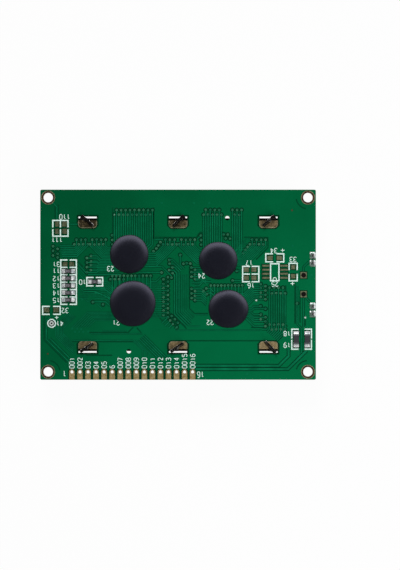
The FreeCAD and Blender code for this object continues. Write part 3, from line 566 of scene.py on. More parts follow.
VIA_LAND = 0.78
VIA_BRIM = 0.54
FAINT_LAND = 0.66
FAINT_BRIM = 0.528
VIA_PIT = 0.2
VIA_H = 0.075
VIA_PIT_H = 0.0225
VIA_CLEAR = 1.52
VIA_CLEAR_H = 0.013
SLOPE_SIDE = 0.5


def rings_tree():
    """On every point a ring that slopes in from its brim, and a disc sunk in its middle."""
    made = bpy.data.node_groups.new("tented_holes", "GeometryNodeTree")
    made.interface.new_socket("Places", in_out="INPUT", socket_type="NodeSocketGeometry")
    for title in ("Outer radius", "Brim radius", "Inner radius", "Height", "Pit height"):
        made.interface.new_socket(title, in_out="INPUT", socket_type="NodeSocketFloat")
    for title in ("Ring finish", "Pit finish"):
        made.interface.new_socket(title, in_out="INPUT", socket_type="NodeSocketMaterial")
    made.interface.new_socket("Holes", in_out="OUTPUT", socket_type="NodeSocketGeometry")
    given = node(made, "NodeGroupInput").outputs
    outer, brim, inner = given["Outer radius"], given["Brim radius"], given["Inner radius"]
    middle = node(made, "ShaderNodeMath", {0: outer, 1: inner}, operation="ADD").outputs[0]
    middle = node(made, "ShaderNodeMath", {0: middle, 1: 0.5}, operation="MULTIPLY").outputs[0]
    breadth = node(made, "ShaderNodeMath", {0: outer, 1: inner}, operation="SUBTRACT").outputs[0]
    flat = node(made, "ShaderNodeMath", {0: outer, 1: brim}, operation="SUBTRACT").outputs[0]
    aside = node(made, "ShaderNodeMath", {0: brim, 1: inner}, operation="SUBTRACT").outputs[0]
    aside = node(made, "ShaderNodeMath", {0: aside, 1: SLOPE_SIDE}, operation="MULTIPLY").outputs[0]
    round_line = node(made, "GeometryNodeCurvePrimitiveCircle", {"Resolution": 16, "Radius": middle})
    round_line = node(made, "GeometryNodeSetCurveNormal", {"Curve": round_line.outputs["Curve"]}, mode="Z_UP")
    sloped = {"Bottom Width": breadth, "Top Width": flat, "Offset": aside, "Height": given["Height"]}
    section = node(made, "GeometryNodeCurvePrimitiveQuadrilateral", mode="TRAPEZOID")
    for title, value in sloped.items():
        made.links.new(value, section.inputs[title])
    ring = {"Curve": round_line.outputs["Curve"], "Profile Curve": section.outputs["Curve"]}
    ring = node(made, "GeometryNodeCurveToMesh", ring).outputs["Mesh"]
    pit = {"Vertices": 12, "Radius": given["Inner radius"], "Depth": given["Pit height"]}
    pit = node(made, "GeometryNodeMeshCylinder", pit).outputs["Mesh"]
    parts = []
    for shape, paint in ((ring, given["Ring finish"]), (pit, given["Pit finish"])):
        faceted = {"Geometry": shape, "Shade Smooth": False}
        shape = node(made, "GeometryNodeSetShadeSmooth", faceted).outputs["Geometry"]
        painted = {"Geometry": shape, "Material": paint}
        shape = node(made, "GeometryNodeSetMaterial", painted).outputs["Geometry"]
        copies = node(made, "GeometryNodeInstanceOnPoints", {"Points": given["Places"], "Instance": shape})
        parts.append(node(made, "GeometryNodeRealizeInstances", {"Geometry": copies.outputs["Instances"]}))
    joined = node(made, "GeometryNodeJoinGeometry")
    for part in parts:
        made.links.new(part.outputs["Geometry"], joined.inputs["Geometry"])
    node(made, "NodeGroupOutput", {"Holes": joined.outputs["Geometry"]})
    return made


def places_mesh(places, middle_h, stagger=0.0):
    """Places in millimetres as a mesh of points, middle_h above the board's back."""
    points = []
    for number, (x, y) in enumerate(places):
        points.append((x * MM, y * MM, back + (middle_h + stagger * (number % STAGGERS)) * MM))
    mesh = bpy.data.meshes.new("places")
    mesh.from_pydata(points, [], [])
    return mesh


# Mask drawn thin over the rim of a hole: a paler, wetter green, browner where copper shows
mask_rim = mottled("solder_mask_thin_over_rim", "#0A6244", "#3F7A5B", 1.1, spread=(0.35, 0.65),
                   Roughness=0.27, Specular_IOR_Level=0.5)

# Mask that has pooled, thicker and darker, in the cleared ring round a hole
mask_well = mottled("solder_mask_in_cleared_ring", "#002F1A", "#003E23", 4.0,
                    Roughness=0.38, Specular_IOR_Level=0.16)

tented_holes = rings_tree()
grow(tented_holes, "tented_holes", places_mesh(vias, VIA_H / 2), "masked_copper",
     Outer_radius=VIA_LAND / 2 * MM, Brim_radius=VIA_BRIM / 2 * MM, Inner_radius=VIA_PIT / 2 * MM,
     Height=VIA_H * MM, Pit_height=VIA_PIT_H * MM, Ring_finish=mask_rim, Pit_finish=mask_laminate)
grow(tented_holes, "faint_holes", places_mesh(faint_vias, VIA_H / 4), "masked_copper",
     Outer_radius=FAINT_LAND / 2 * MM, Brim_radius=FAINT_BRIM / 2 * MM, Inner_radius=VIA_PIT / 2 * MM,
     Height=VIA_H / 2 * MM, Pit_height=VIA_PIT_H / 2 * MM, Ring_finish=mask_trace, Pit_finish=mask_gap)
grow(tented_holes, "hole_clearings", places_mesh(vias, VIA_CLEAR_H / 2, STAGGER_H), "masked_copper",
     Outer_radius=VIA_CLEAR / 2 * MM, Brim_radius=VIA_PIT / 2 * MM, Inner_radius=VIA_PIT / 2 * MM,
     Height=VIA_CLEAR_H * MM, Pit_height=VIA_CLEAR_H / 2 * MM, Ring_finish=mask_well, Pit_finish=mask_well)


# Bare lands
# Copper that the mask leaves open, flashed with thin gold, duller and browner on some lands.
# Solder covers the lands that carry chips, and the terminals' holes are painted near black as shade.

CLEARANCE = 0.4
CLEARING_LIFT = 0.004
LAND_H = 0.05
EDGE_W = 0.16
EDGE_LIFT = 0.002
CORNER_R = 1.1
HEADER_END_Y = -29.9
HEADER_CUT_X, HEADER_CUT_Y = 0.5, 0.6
SLOT_OUTER_Y = 21.75
SLOT_HALF_W = 3.15
SLOT_CUT = 0.9


def islands(name):
    """The boxes of a node's separate solids, in board millimetres."""
    mesh = bmesh.new()
    mesh.from_mesh(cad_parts[name].data)
    bmesh.ops.remove_doubles(mesh, verts=mesh.verts, dist=1e-7)
    left = set(mesh.verts)
    found = []
    while left:
        reached = [left.pop()]
        for vert in reached:
            for edge in vert.link_edges:
                other = edge.other_vert(vert)
                if other in left:
                    left.remove(other)
                    reached.append(other)
        xs = [vert.co.x / MM for vert in reached]
        ys = [vert.co.y / MM for vert in reached]
        found.append((min(xs), min(ys), max(xs), max(ys)))
    mesh.free()
    return sorted(found)


outlines = []
for name in ("soldered_pads", "empty_pads", "backlight_terminals"):
    for x0, y0, x1, y1 in islands(name):
        outlines.append([(x0, y0), (x1, y0), (x1, y1), (x0, y1), (x0, y0)])
for x0, y0, x1, y1 in islands("header_pads"):
    shoulder = y1 - HEADER_CUT_Y
    outlines.append([(x0, HEADER_END_Y), (x0, shoulder), (x0 + HEADER_CUT_X, y1),
                     (x1 - HEADER_CUT_X, y1), (x1, shoulder), (x1, HEADER_END_Y)])

# Round each bezel slot and its ground land, and a paler gold line along the lands' edges, which is a painted
# highlight
edges = []
for x0, y0, x1, y1 in islands("tab_pads"):
    row = math.copysign(1.0, y0)
    inner = min(y0, y1, key=abs)
    outer = row * SLOT_OUTER_Y
    cut = row * SLOT_CUT
    a, b = (x0 + x1) / 2 - SLOT_HALF_W, (x0 + x1) / 2 + SLOT_HALF_W
    outlines.append([(a, inner + cut), (a + SLOT_CUT, inner), (b - SLOT_CUT, inner),
                     (b, inner + cut), (b, outer), (a, outer), (a, inner + cut)])
    edge = []
    for middle_x, start in ((x1 - CORNER_R, 0), (x0 + CORNER_R, 90)):
        for i in range(7):
            turn = math.radians(start + 15 * i)
            reach = CORNER_R - EDGE_W / 2
            y = inner + row * (CORNER_R - reach * math.sin(turn))
            edge.append((middle_x + reach * math.cos(turn), y))
    edges.append([(edge[0][0], edge[0][1] + row * 1.2)] + edge + [(edge[-1][0], edge[-1][1] + row * 1.2)])
for x0, y0, x1, y1 in islands("mounting_pads"):
    x, y, r = (x0 + x1) / 2, (y0 + y1) / 2, (x1 - x0 - EDGE_W) / 2
    ring = [(x + r * math.cos(math.tau * i / 40), y + r * math.sin(math.tau * i / 40)) for i in range(40)]
    edges.append(ring + ring[:1])
# A dark band of bare laminate round every land, slot and header place: the mask's real clearance, widened as
# painted shade round the parts
land_wires = wire_mesh(outlines, CLEARED_H / 2 + CLEARING_LIFT, STAGGER_H)
grow(flat_ribs, "land_clearings_and_shade", land_wires, "masked_copper",
     Width=2 * CLEARANCE * MM, Height=CLEARED_H * MM, Finish=mask_laminate)

# Tinned lands: dipped in solder, so each is a little domed and grainy
tin = mottled("tinned_land", "#C9DCD2", "#F2F8F4", 0.6, grain=(0.5, 0.06), Metallic=0.35, Roughness=0.4)
set_finish(["soldered_pads"], tin)

# The two sighting marks, nearest to opposite corners, were never tinned and went brown.
# There the product of the distances across and up, in square metres, is largest.
marks, tree, shader, place = finish("tinned_and_bare_marks", Metallic=0.35, Roughness=0.4)
apart = node(tree, "ShaderNodeSeparateXYZ", {"Vector": place}).outputs
corner = {0: apart["X"], 1: apart["Y"]}
corner = node(tree, "ShaderNodeMath", corner, operation="MULTIPLY").outputs[0]
corner = {"Value": corner, "From Min": 6.0e-4, "From Max": 7.0e-4}
corner = node(tree, "ShaderNodeMapRange", corner).outputs["Result"]
noise = {"Vector": place, "Scale": 1 / (0.5 * MM), "Detail": 2.0}
blotches = node(tree, "ShaderNodeTexNoise", noise).outputs["Fac"]
mix = {"Factor": blotches, MIX_FIRST: colour("#C9E6DA"), MIX_SECOND: colour("#F2FBF6")}
bright = node(tree, "ShaderNodeMix", mix, data_type="RGBA").outputs[MIX_RESULT]
mix = {"Factor": blotches, MIX_FIRST: colour("#3F3A24"), MIX_SECOND: colour("#6B5A3F")}
brown = node(tree, "ShaderNodeMix", mix, data_type="RGBA").outputs[MIX_RESULT]
mix = {"Factor": corner, MIX_FIRST: bright, MIX_SECOND: brown}
mix = node(tree, "ShaderNodeMix", mix, data_type="RGBA")
tree.links.new(mix.outputs[MIX_RESULT], shader.inputs["Base Color"])
set_finish(["test_lands"], marks)

# Gold flash: so thin that the nickel and the copper below tint it. On some lands it is duller or browner.
FLASH_BLOTCH_MM = 0.8
FLASH_SPREAD = (0.3, 0.7)
FLASH_GRAIN = (0.3, 0.03)
flashed = {"blotch_mm": FLASH_BLOTCH_MM, "spread": FLASH_SPREAD, "grain": FLASH_GRAIN, "Metallic": 0.6}
fingers = mottled("gold_flash_of_header", "#BBA468", "#E6CE98", Roughness=0.42, **flashed)
set_finish(["header_pads"], fingers)
# The mounting rings are a darker brown
brown_flash = mottled("gold_flash_dark_brown", "#3B2A1C", "#6B5239", Roughness=0.5, **flashed)
set_finish(["mounting_pads"], brown_flash)
# Painted highlight: a paler gold rib along the edges of the slots' grounds and round the mounting rings
rim = mottled("gold_flash_painted_edge_highlight", "#9C8F70", "#D2C8A8", Roughness=0.4, **flashed)
grow(flat_ribs, "land_edge_highlights", wire_mesh(edges, LAND_H / 2 + EDGE_LIFT), "gold_pad",
     Width=EDGE_W * MM, Height=LAND_H * MM, Finish=rim)


def flash_with_painted_light(name, dull, bright, run):
    """Gold flash painted brighter along a run, which is given per metre, as painted light."""
    made, tree, shader, place = finish(name, Metallic=0.6, Roughness=0.5)
    noise = {"Vector": place, "Scale": 1 / (FLASH_BLOTCH_MM * MM), "Detail": 2.0}
    noise = node(tree, "ShaderNodeTexNoise", noise).outputs["Fac"]
    spread = {"Value": noise, "From Min": FLASH_SPREAD[0], "From Max": FLASH_SPREAD[1]}
    blotches = node(tree, "ShaderNodeMapRange", spread).outputs["Result"]
    # Painted light: the colour brightens along the run, mixed with the real blotches
    along = {0: place, 1: run}
    along = node(tree, "ShaderNodeVectorMath", along, operation="DOT_PRODUCT").outputs["Value"]
    along = node(tree, "ShaderNodeMath", {0: along, 1: blotches}, operation="ADD").outputs[0]
    along = {"Value": along, "From Min": -0.3, "From Max": 1.4}
    share = node(tree, "ShaderNodeMapRange", along).outputs["Result"]
    mix = {"Factor": share, MIX_FIRST: colour(dull), MIX_SECOND: colour(bright)}
    mix = node(tree, "ShaderNodeMix", mix, data_type="RGBA")
    tree.links.new(mix.outputs[MIX_RESULT], shader.inputs["Base Color"])
    bump = {"Height": share, "Strength": FLASH_GRAIN[0], "Distance": FLASH_GRAIN[1] * MM}
    bump = node(tree, "ShaderNodeBump", bump)
    tree.links.new(bump.outputs["Normal"], shader.inputs["Normal"])
    return made


# Lands left empty are olive; the slots' grounds are warmer and browner. Both are painted brighter one way as
# painted light: the lands to the right, the grounds to the lower right
lands = flash_with_painted_light("gold_flash_of_lands", "#505840", "#A6AC86", (7.0, 0.0, 0.0))
set_finish(["empty_pads", "backlight_terminals"], lands)
grounds = flash_with_painted_light("gold_flash_of_grounds", "#473F2C", "#C6AE80", (11.6, -23.0, 0.0))
set_finish(["tab_pads"], grounds)

# Near-black plugs fill the terminals' holes and near-black rings edge them, all painted shade. The jumper's
# solder has a pit in its middle, and both the pit and a ring round the jumper's land are painted near black
# as shade. Each is a ring and a disc, given by its radii outside, at the brim and round the disc.
SHADE_PLUG_RADII = (0.67, 0.6, 0.5)
SHADE_PLUG_SUNK, SHADE_PLUG_DISC_SUNK = 0.2, 0.3
TERMINAL_RIM_RADII = (0.78, 0.74, 0.6)
TERMINAL_RIM_H, TERMINAL_DISC_H = 0.02, 0.016
JUMPER_GAP_RADII = (1.04, 0.9, 0.72)
JUMPER_GAP_H, JUMPER_LAND_H = 0.014, 0.012
JUMPER_RADII = (0.72, 0.6, 0.28)
JUMPER_H, JUMPER_PIT_H, JUMPER_LIFT = 0.16, 0.06, 0.04
RING_LIFT = 0.004

# Painted shade for the holes, the pit and the ring: dull, nearly black with a little brown
hole_shade = mottled("painted_hole_shade", "#050404", "#140D08", 0.3, Roughness=0.5)


def set_rings(name, slot, places, middle_h, radii, ring_h, disc_h, ring_finish, disc_finish):
    """Rings with a disc in their middles, of these sizes in millimetres, on the places."""
    outer, brim, inner = radii
    grow(tented_holes, name, places_mesh(places, middle_h), slot,
         Outer_radius=outer * MM, Brim_radius=brim * MM, Inner_radius=inner * MM, Height=ring_h * MM,
         Pit_height=disc_h * MM, Ring_finish=ring_finish, Pit_finish=disc_finish)


terminals = [((x0 + x1) / 2, (y0 + y1) / 2) for x0, y0, x1, y1 in islands("backlight_terminals")]
jumper = [((x0 + x1) / 2, (y0 + y1) / 2) for x0, y0, x1, y1 in islands("test_lands") if x1 - x0 > 1.0]
hole_depth = (board_high.z - board_low.z) / MM
# Painted shade: a near-black plug in each terminal's hole, and a near-black rim round its top
set_rings("terminal_shade_plugs", "masked_copper", terminals, -hole_depth / 2, SHADE_PLUG_RADII,
          hole_depth - SHADE_PLUG_SUNK, hole_depth - SHADE_PLUG_DISC_SUNK, hole_shade, hole_shade)
set_rings("terminal_rim_shade", "masked_copper", terminals, LAND_H + RING_LIFT, TERMINAL_RIM_RADII,
          TERMINAL_RIM_H, TERMINAL_DISC_H, hole_shade, hole_shade)
# Painted shade: the ring round the jumper's land and the pit in its solder are near black
set_rings("jumper_clearing_and_shade", "masked_copper", jumper, LAND_H + RING_LIFT, JUMPER_GAP_RADII,
          JUMPER_GAP_H, JUMPER_LAND_H, hole_shade, tin)
set_rings("jumper_solder", "tinned_pad", jumper, LAND_H + JUMPER_LIFT, JUMPER_RADII,
          JUMPER_H, JUMPER_PIT_H, tin, hole_shade)


# White print
# Ink squeezed through a screen once the mask has set: outlines round the places, and
# plain numbers beside them and along the header, all a little raised.

PRINT_W = 0.21
PRINT_H = 0.016
PRINT_LIFT = 0.026
PRINT_CORNER_R = 0.16
FIGURE_W = 0.82
FIGURE_H = 1.5
END_FIGURE_H = 1.9
FIGURE_STEP = 1.2

# Each figure's strokes, in shares of its width and height
figures = {
    "0": [[(0, 0.2), (0, 0.8), (0.25, 1), (0.75, 1), (1, 0.8), (1, 0.2), (0.75, 0), (0.25, 0), (0, 0.2)]],
    "1": [[(0.2, 0.75), (0.6, 1), (0.6, 0)]],
    "2": [[(0, 0.78), (0.25, 1), (0.75, 1), (1, 0.78), (1, 0.62), (0, 0.02), (1, 0.02)]],
    "3": [[(0, 0.9), (0.3, 1), (0.75, 1), (0.97, 0.82), (0.97, 0.68), (0.7, 0.53), (0.35, 0.53)],
          [(0.7, 0.53), (1, 0.36), (1, 0.18), (0.75, 0), (0.25, 0), (0, 0.12)]],
    "4": [[(0.78, 0), (0.78, 1)], [(0.78, 1), (0, 0.3), (1.02, 0.3)]],
    "5": [[(0.95, 1), (0.1, 1), (0.03, 0.55), (0.7, 0.6), (1, 0.42), (1, 0.2), (0.75, 0), (0.25, 0),
           (0, 0.12)]],
    "6": [[(0.9, 0.95), (0.4, 1), (0.03, 0.7), (0, 0.2), (0.25, 0), (0.75, 0), (1, 0.2), (1, 0.36),
           (0.75, 0.56), (0.2, 0.54)]],
    "7": [[(0, 1), (1, 1), (0.35, 0)]],
    "8": [[(0.3, 0.53), (0.07, 0.66), (0.07, 0.86), (0.3, 1), (0.7, 1), (0.93, 0.86), (0.93, 0.66),
           (0.7, 0.53), (0.3, 0.53)],
          [(0.3, 0.53), (0, 0.36), (0, 0.16), (0.25, 0), (0.75, 0), (1, 0.16), (1, 0.36), (0.7, 0.53)]],
    "9": [[(0.1, 0.05), (0.6, 0), (0.97, 0.3), (1, 0.8), (0.75, 1), (0.25, 1), (0, 0.8), (0, 0.64),
           (0.25, 0.44), (0.8, 0.46)]],
    "+": [[(-0.2, 0.4), (1.2, 0.4)], [(0.5, 0.05), (0.5, 0.75)]],
}


def write(text, x, y, turn, high=FIGURE_H):
    """Strokes of a number, its middle at x, y, turned by so many degrees."""
    c, s = math.cos(math.radians(turn)), math.sin(math.radians(turn))
    length = (len(text) - 1) * FIGURE_STEP + FIGURE_W
    strokes = []
    for i, figure in enumerate(text):
        for stroke in figures[figure]:
            placed = []
            for u, v in stroke:
                px = i * FIGURE_STEP + u * FIGURE_W - length / 2
                py = (v - 0.5) * high
                placed.append((x + px * c - py * s, y + px * s + py * c))
            strokes.append(placed)
    return strokes


numbers = [
    ("31", -38.4, 6.4), ("11", -38.4, 4.3), ("12", -38.4, 1.9), ("13", -38.4, -0.35), ("14", -38.4, -2.65),
    ("15", -38.4, -4.95), ("10", -30.15, 0.8), ("110", -35.8, 21.4), ("111", -38.2, 14.1),
    ("32", -35.65, -8.15), ("41", -37.3, -12.25), ("17", 22.45, 6.88), ("16", 23.05, -0.3),
    ("25", 30.6, 0.2), ("34", 30.25, 10.75), ("33", 36.3, 7.95), ("18", 34.4, -15.45),
    ("19", 34.4, -19.1), ("23", -21.3, 5.05), ("21", -19.5, -12.0), ("24", 7.45, 2.8),
    ("22", 10.15, -11.9), ("+", -38.3, -10.5), ("+", 33.0, 10.7), ("+", 36.1, 0.2),
]
header = ["001", "002", "03", "04", "05", "6"] + ["%03d" % n for n in range(7, 15)] + ["0015", "0016"]
strokes = []
for text, x, y in numbers:
    strokes += write(text, x, y, 180)
strokes += write("1", -35.85, -28.2, 180, END_FIGURE_H) + write("16", 7.1, -28.45, 180, END_FIGURE_H)

# The round at the end of the empty place for the eight-legged chip
NOTCH_X, NOTCH_Y, NOTCH_R = 30.53, 1.7, 0.55
turns = [math.tau * i / 16 for i in range(17)]
strokes.append([(NOTCH_X + NOTCH_R * math.cos(t), NOTCH_Y + NOTCH_R * math.sin(t)) for t in turns])
strokes[-1][-1] = strokes[-1][0]

# A number stands over every header place
HEADER_X, HEADER_STEP, LABEL_Y = -33.5, 2.54, -26.45
for i, text in enumerate(header):
    length = (len(text) - 1) * FIGURE_STEP + FIGURE_W
    strokes += write(text, HEADER_X + i * HEADER_STEP, LABEL_Y + PRINT_W / 2 + length / 2, 90)

# Ink: dead white, faintly tinted by the mask where it is thin, with a chalky surface
ink = mottled("white_screen_ink", "#BCE6D8", "#EEFDF8", 0.5, spread=(0.3, 0.6), grain=(0.2, 0.01),
              Roughness=0.62)
set_finish(["printed_outlines"], ink)
grow(flat_ribs, "printed_numbers", wire_mesh(strokes, PRINT_LIFT + PRINT_H / 2, STAGGER_H), "white_ink",
     Width=PRINT_W * MM, Height=PRINT_H * MM, Corner_radius=PRINT_CORNER_R * MM, Finish=ink)


# Resin drops
# Black epoxy poured over each bonded driver chip and baked. It flows out to a round with
# a full shoulder and a flatter crown, never quite even, and dries with a satin skin.

DROP_SIDES = 96
DROP_RINGS = 26
DROP_FULLNESS = 3.8
DROP_FOOT = 0.07
SHOULDER_TOP = 0.98
CROWN_TOP = 0.985
WAVER_BY_3, WAVER_BY_5 = 0.006, 0.004
SLUMP = 0.02

# Breadth, length and how far each has run to the right and up, in millimetres
DROP_SHAPES = {"u1": (1.02, 1.02, 0.0, 0.0), "u2": (1.03, 0.98, -0.08, 0.1)}
DROP_SHAPES.update({"u3": (1.01, 1.01, 0.05, 0.03), "u4": (1.01, 0.98, 0.0, 0.14)})

# Filled epoxy: nearly black, faintly blue where the room shines on it, and fine-grained
resin = mottled("baked_black_epoxy", "#0F1017", "#1B1C25", 0.22, grain=(0.35, 0.03), detail=3.0,
                Roughness=0.38, IOR=1.5, Specular_IOR_Level=0.75, Specular_Tint=colour("#E2E0FF"))

for number, (name, (cx, cy, r)) in enumerate(drops.items()):
    low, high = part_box("resin_drop_" + name)
    broad, long, aside, up = DROP_SHAPES[name]
    cx, cy = cx + aside, cy + up
    mesh = bmesh.new()
    rings = []
    for i in range(DROP_RINGS):
        share = 1 - max(i - 1, 0) / DROP_RINGS
        rise = DROP_FOOT + (1 - DROP_FOOT) * (1 - share ** DROP_FULLNESS) if i else 0.0
        ring = []
        for j in range(DROP_SIDES):
            t = math.tau * j / DROP_SIDES
            waver = WAVER_BY_3 * math.sin(3 * t + 2 * number) + WAVER_BY_5 * (math.sin(5 * t + number) - 1)
            slump = 1 - SLUMP * share * math.cos(t + 1.3 * number)
            x = cx + r * broad * share * (1 + waver) * math.cos(t)
            y = cy + r * long * share * (1 + waver) * math.sin(t)
            z = low.z + (high.z - low.z) * rise * slump * SHOULDER_TOP
            ring.append(mesh.verts.new((x * MM, y * MM, z)))
        rings.append(ring)
    crown = mesh.verts.new((cx * MM, cy * MM, low.z + (high.z - low.z) * CROWN_TOP))
    for lower, upper in zip(rings, rings[1:]):
        for j in range(DROP_SIDES):
            k = (j + 1) % DROP_SIDES
            mesh.faces.new((lower[j], lower[k], upper[k], upper[j]))
    for j in range(DROP_SIDES):
        mesh.faces.new((rings[-1][j], rings[-1][(j + 1) % DROP_SIDES], crown))
    mesh.faces.new(rings[0][::-1])
    data = bpy.data.meshes.new("drop")
    mesh.to_mesh(data)
    mesh.free()
    for face in data.polygons:
        face.use_smooth = len(face.vertices) < 5
    data.materials.append(resin)
    drop = bpy.data.objects.new("resin_dome_" + name, data)
    bpy.context.scene.collection.objects.link(drop)
    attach(drop, "root")
    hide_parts("resin_drop_" + name)

# The dies under the drops: polished silicon, a dark blue-grey mirror
silicon = mottled("bare_silicon", "#2B2D38", "#4A4C59", 0.3, Metallic=0.6, Roughness=0.2)
set_finish(["driver_die_" + name for name in drops], silicon)


# Chip resistors
# A sliver of alumina with a black glazed element on top, silvered and tinned at both
# ends, and held by solder that climbs each end in a hollow fillet.

chips = [name[9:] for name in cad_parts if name.startswith("resistor_") and name != "resistor_solder"]

# The glazed element: fired black glass, a little uneven, with a soft shine
glaze = mottled("black_resistor_glaze", "#2B2A2E", "#4C4A50", 0.25, grain=(0.2, 0.01),
                Roughness=0.3, Coat_Weight=0.3)
set_finish(["resistor_" + name for name in chips], glaze)

# Each body's value is printed on it in three small figures
VALUE_H = 0.62
VALUE_SHARE = 0.34
VALUE_LINE_W = 0.075
VALUE_LINE_H = 0.012
strokes = []
for name in chips:
    low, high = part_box("resistor_" + name)
    x, y = (low.x + high.x) / 2 / MM, (low.y + high.y) / 2 / MM
    turn = 90 if high.y - low.y > high.x - low.x else 180
    for stroke in write("103", 0, 0, turn, VALUE_H / VALUE_SHARE):
        strokes.append([(x + VALUE_SHARE * u, y + VALUE_SHARE * v) for u, v in stroke])

# The figures' ink: grey and matt, so it reads against the glaze
grey_ink = mottled("grey_figure_ink", "#8B8A90", "#C2C0C6", 0.2, Roughness=0.6)
grow(flat_ribs, "resistor_figures", wire_mesh(strokes, VALUE_LINE_H / 2, STAGGER_H, high.z), "white_ink",
     Width=VALUE_LINE_W * MM, Height=VALUE_LINE_H * MM, Finish=grey_ink)


def frozen_tin(name, dull, bright, facet_mm, detail, **uniform):
    """Solder that froze in facets facet_mm across, so it takes the room's light unevenly."""
    made, tree, shader, place = finish(name, **uniform)
    noise = {"Vector": place, "Scale": 1 / (facet_mm * MM), "Detail": detail}
    facets = node(tree, "ShaderNodeTexNoise", noise).outputs["Fac"]
    share = {"Value": facets, "From Min": 0.35, "From Max": 0.6}
    share = node(tree, "ShaderNodeMapRange", share).outputs["Result"]
    mix = {"Factor": share, MIX_FIRST: colour(dull), MIX_SECOND: colour(bright)}
    mix = node(tree, "ShaderNodeMix", mix, data_type="RGBA")
    tree.links.new(mix.outputs[MIX_RESULT], shader.inputs["Base Color"])
    bump = node(tree, "ShaderNodeBump", {"Height": facets, "Strength": 1.0, "Distance": 0.3 * MM})
    tree.links.new(bump.outputs["Normal"], shader.inputs["Normal"])
    return made


solder = frozen_tin("bright_solder", "#C4CDD2", "#FEFFFF", 1.1, 1.0, Metallic=0.35, Roughness=0.25)
set_finish(["resistor_solder"], solder)

# The ends: tin over silver, duller and greyer than the solder that wets them
caps = mottled("tinned_end_cap", "#5E6265", "#9EA3A6", 0.5, grain=(0.8, 0.12), Metallic=0.6, Roughness=0.3)
set_finish(["ends_" + name for name in chips], caps)

# The lead joints are larger and smoother, so they mirror both the room and its dark ceiling
joint = frozen_tin("smooth_lead_joint", "#B6BABD", "#F2F4F5", 0.7, 2.0, Metallic=0.85, Roughness=0.2)
set_finish(["lead_joint_%d" % i for i in range(1, 5)], joint)


# Bezel
# One sheet of steel, blanked, folded and painted black before it is fitted. Its tabs go
# through the board and are twisted, which cracks the paint from their sheared edges.

EDGE_WEAR_MM = 0.12
WEAR_FROM_MM, WEAR_FULL_MM = 0.1, 0.3

# Baked black enamel with a faint orange peel; over the board its edges are worn to steel
paint, tree, shader, place = finish("black_painted_steel", Roughness=0.3)
noise = {"Vector": place, "Scale": 1 / (0.5 * MM), "Detail": 3.0}
peel = node(tree, "ShaderNodeTexNoise", noise).outputs["Fac"]
eased = node(tree, "ShaderNodeBevel", {"Radius": EDGE_WEAR_MM * MM}, samples=6).outputs["Normal"]
flat = node(tree, "ShaderNodeNewGeometry").outputs["True Normal"]
agree = {0: eased, 1: flat}
agree = node(tree, "ShaderNodeVectorMath", agree, operation="DOT_PRODUCT").outputs["Value"]
edge = {"Value": agree, "From Min": 0.97, "From Max": 0.9}
edge = node(tree, "ShaderNodeMapRange", edge).outputs["Result"]
height = node(tree, "ShaderNodeSeparateXYZ", {"Vector": place}).outputs["Z"]
above = {"Value": height, "From Min": back + WEAR_FROM_MM * MM, "From Max": back + WEAR_FULL_MM * MM}
above = node(tree, "ShaderNodeMapRange", above).outputs["Result"]
noise = {"Vector": place, "Scale": 1 / (0.9 * MM), "Detail": 3.0}
noise = node(tree, "ShaderNodeTexNoise", noise).outputs["Fac"]
worn = {"Value": noise, "From Min": 0.5, "From Max": 0.58}
worn = node(tree, "ShaderNodeMapRange", worn).outputs["Result"]
bare = node(tree, "ShaderNodeMath", {0: edge, 1: worn}, operation="MULTIPLY").outputs[0]
bare = node(tree, "ShaderNodeMath", {0: bare, 1: above}, operation="MULTIPLY").outputs[0]
mix = {"Factor": peel, MIX_FIRST: colour("#09090A"), MIX_SECOND: colour("#141415")}
black = node(tree, "ShaderNodeMix", mix, data_type="RGBA").outputs[MIX_RESULT]
mix = {"Factor": bare, MIX_FIRST: black, MIX_SECOND: colour("#E4E2DC")}
mix = node(tree, "ShaderNodeMix", mix, data_type="RGBA")
tree.links.new(mix.outputs[MIX_RESULT], shader.inputs["Base Color"])
tree.links.new(bare, shader.inputs["Metallic"])
grainy = {"Height": peel, "Strength": 0.25, "Distance": 0.02 * MM, "Normal": eased}
tree.links.new(node(tree, "ShaderNodeBump", grainy).outputs["Normal"], shader.inputs["Normal"])
set_finish(["bezel"], paint)


# Display glass
# Two panes with the liquid crystal sealed between them, a polarizer on each face, and a
# grid of character dots etched in the clear conducting film.

# Float glass: clear and flat, with the faint green of its iron
pane = mottled("clear_float_glass", "#F2F8F2", "#FAFDFA", 20.0,
               Roughness=0.03, IOR=1.52, Transmission_Weight=1.0)
set_finish(["front_glass", "rear_glass"], pane)

# The film over the cell: olive as the display rests, with the faint dots of its characters
CHARACTERS, LINES = 16, 4
CHARACTER_STEP, CHARACTER_SIZE = (3.55, 5.95), (2.95, 4.75)
DOT_STEP, DOT_SIZE = 0.6, 0.53
film, tree, shader, place = finish("front_polarizing_film", Roughness=0.16, IOR=1.49,
                                   Transmission_Weight=0.25)


def within(value, step, size, offset):
    """How far along its step a coordinate is, and 1 where it lies in the step's first part."""
    steps = {0: value, 1: 1 / (step * MM), 2: offset}
    steps = node(tree, "ShaderNodeMath", steps, operation="MULTIPLY_ADD").outputs[0]
    share = node(tree, "ShaderNodeMath", {0: steps}, operation="FRACT").outputs[0]
    first = {0: share, 1: size / step}
    return share, node(tree, "ShaderNodeMath", first, operation="LESS_THAN").outputs[0]


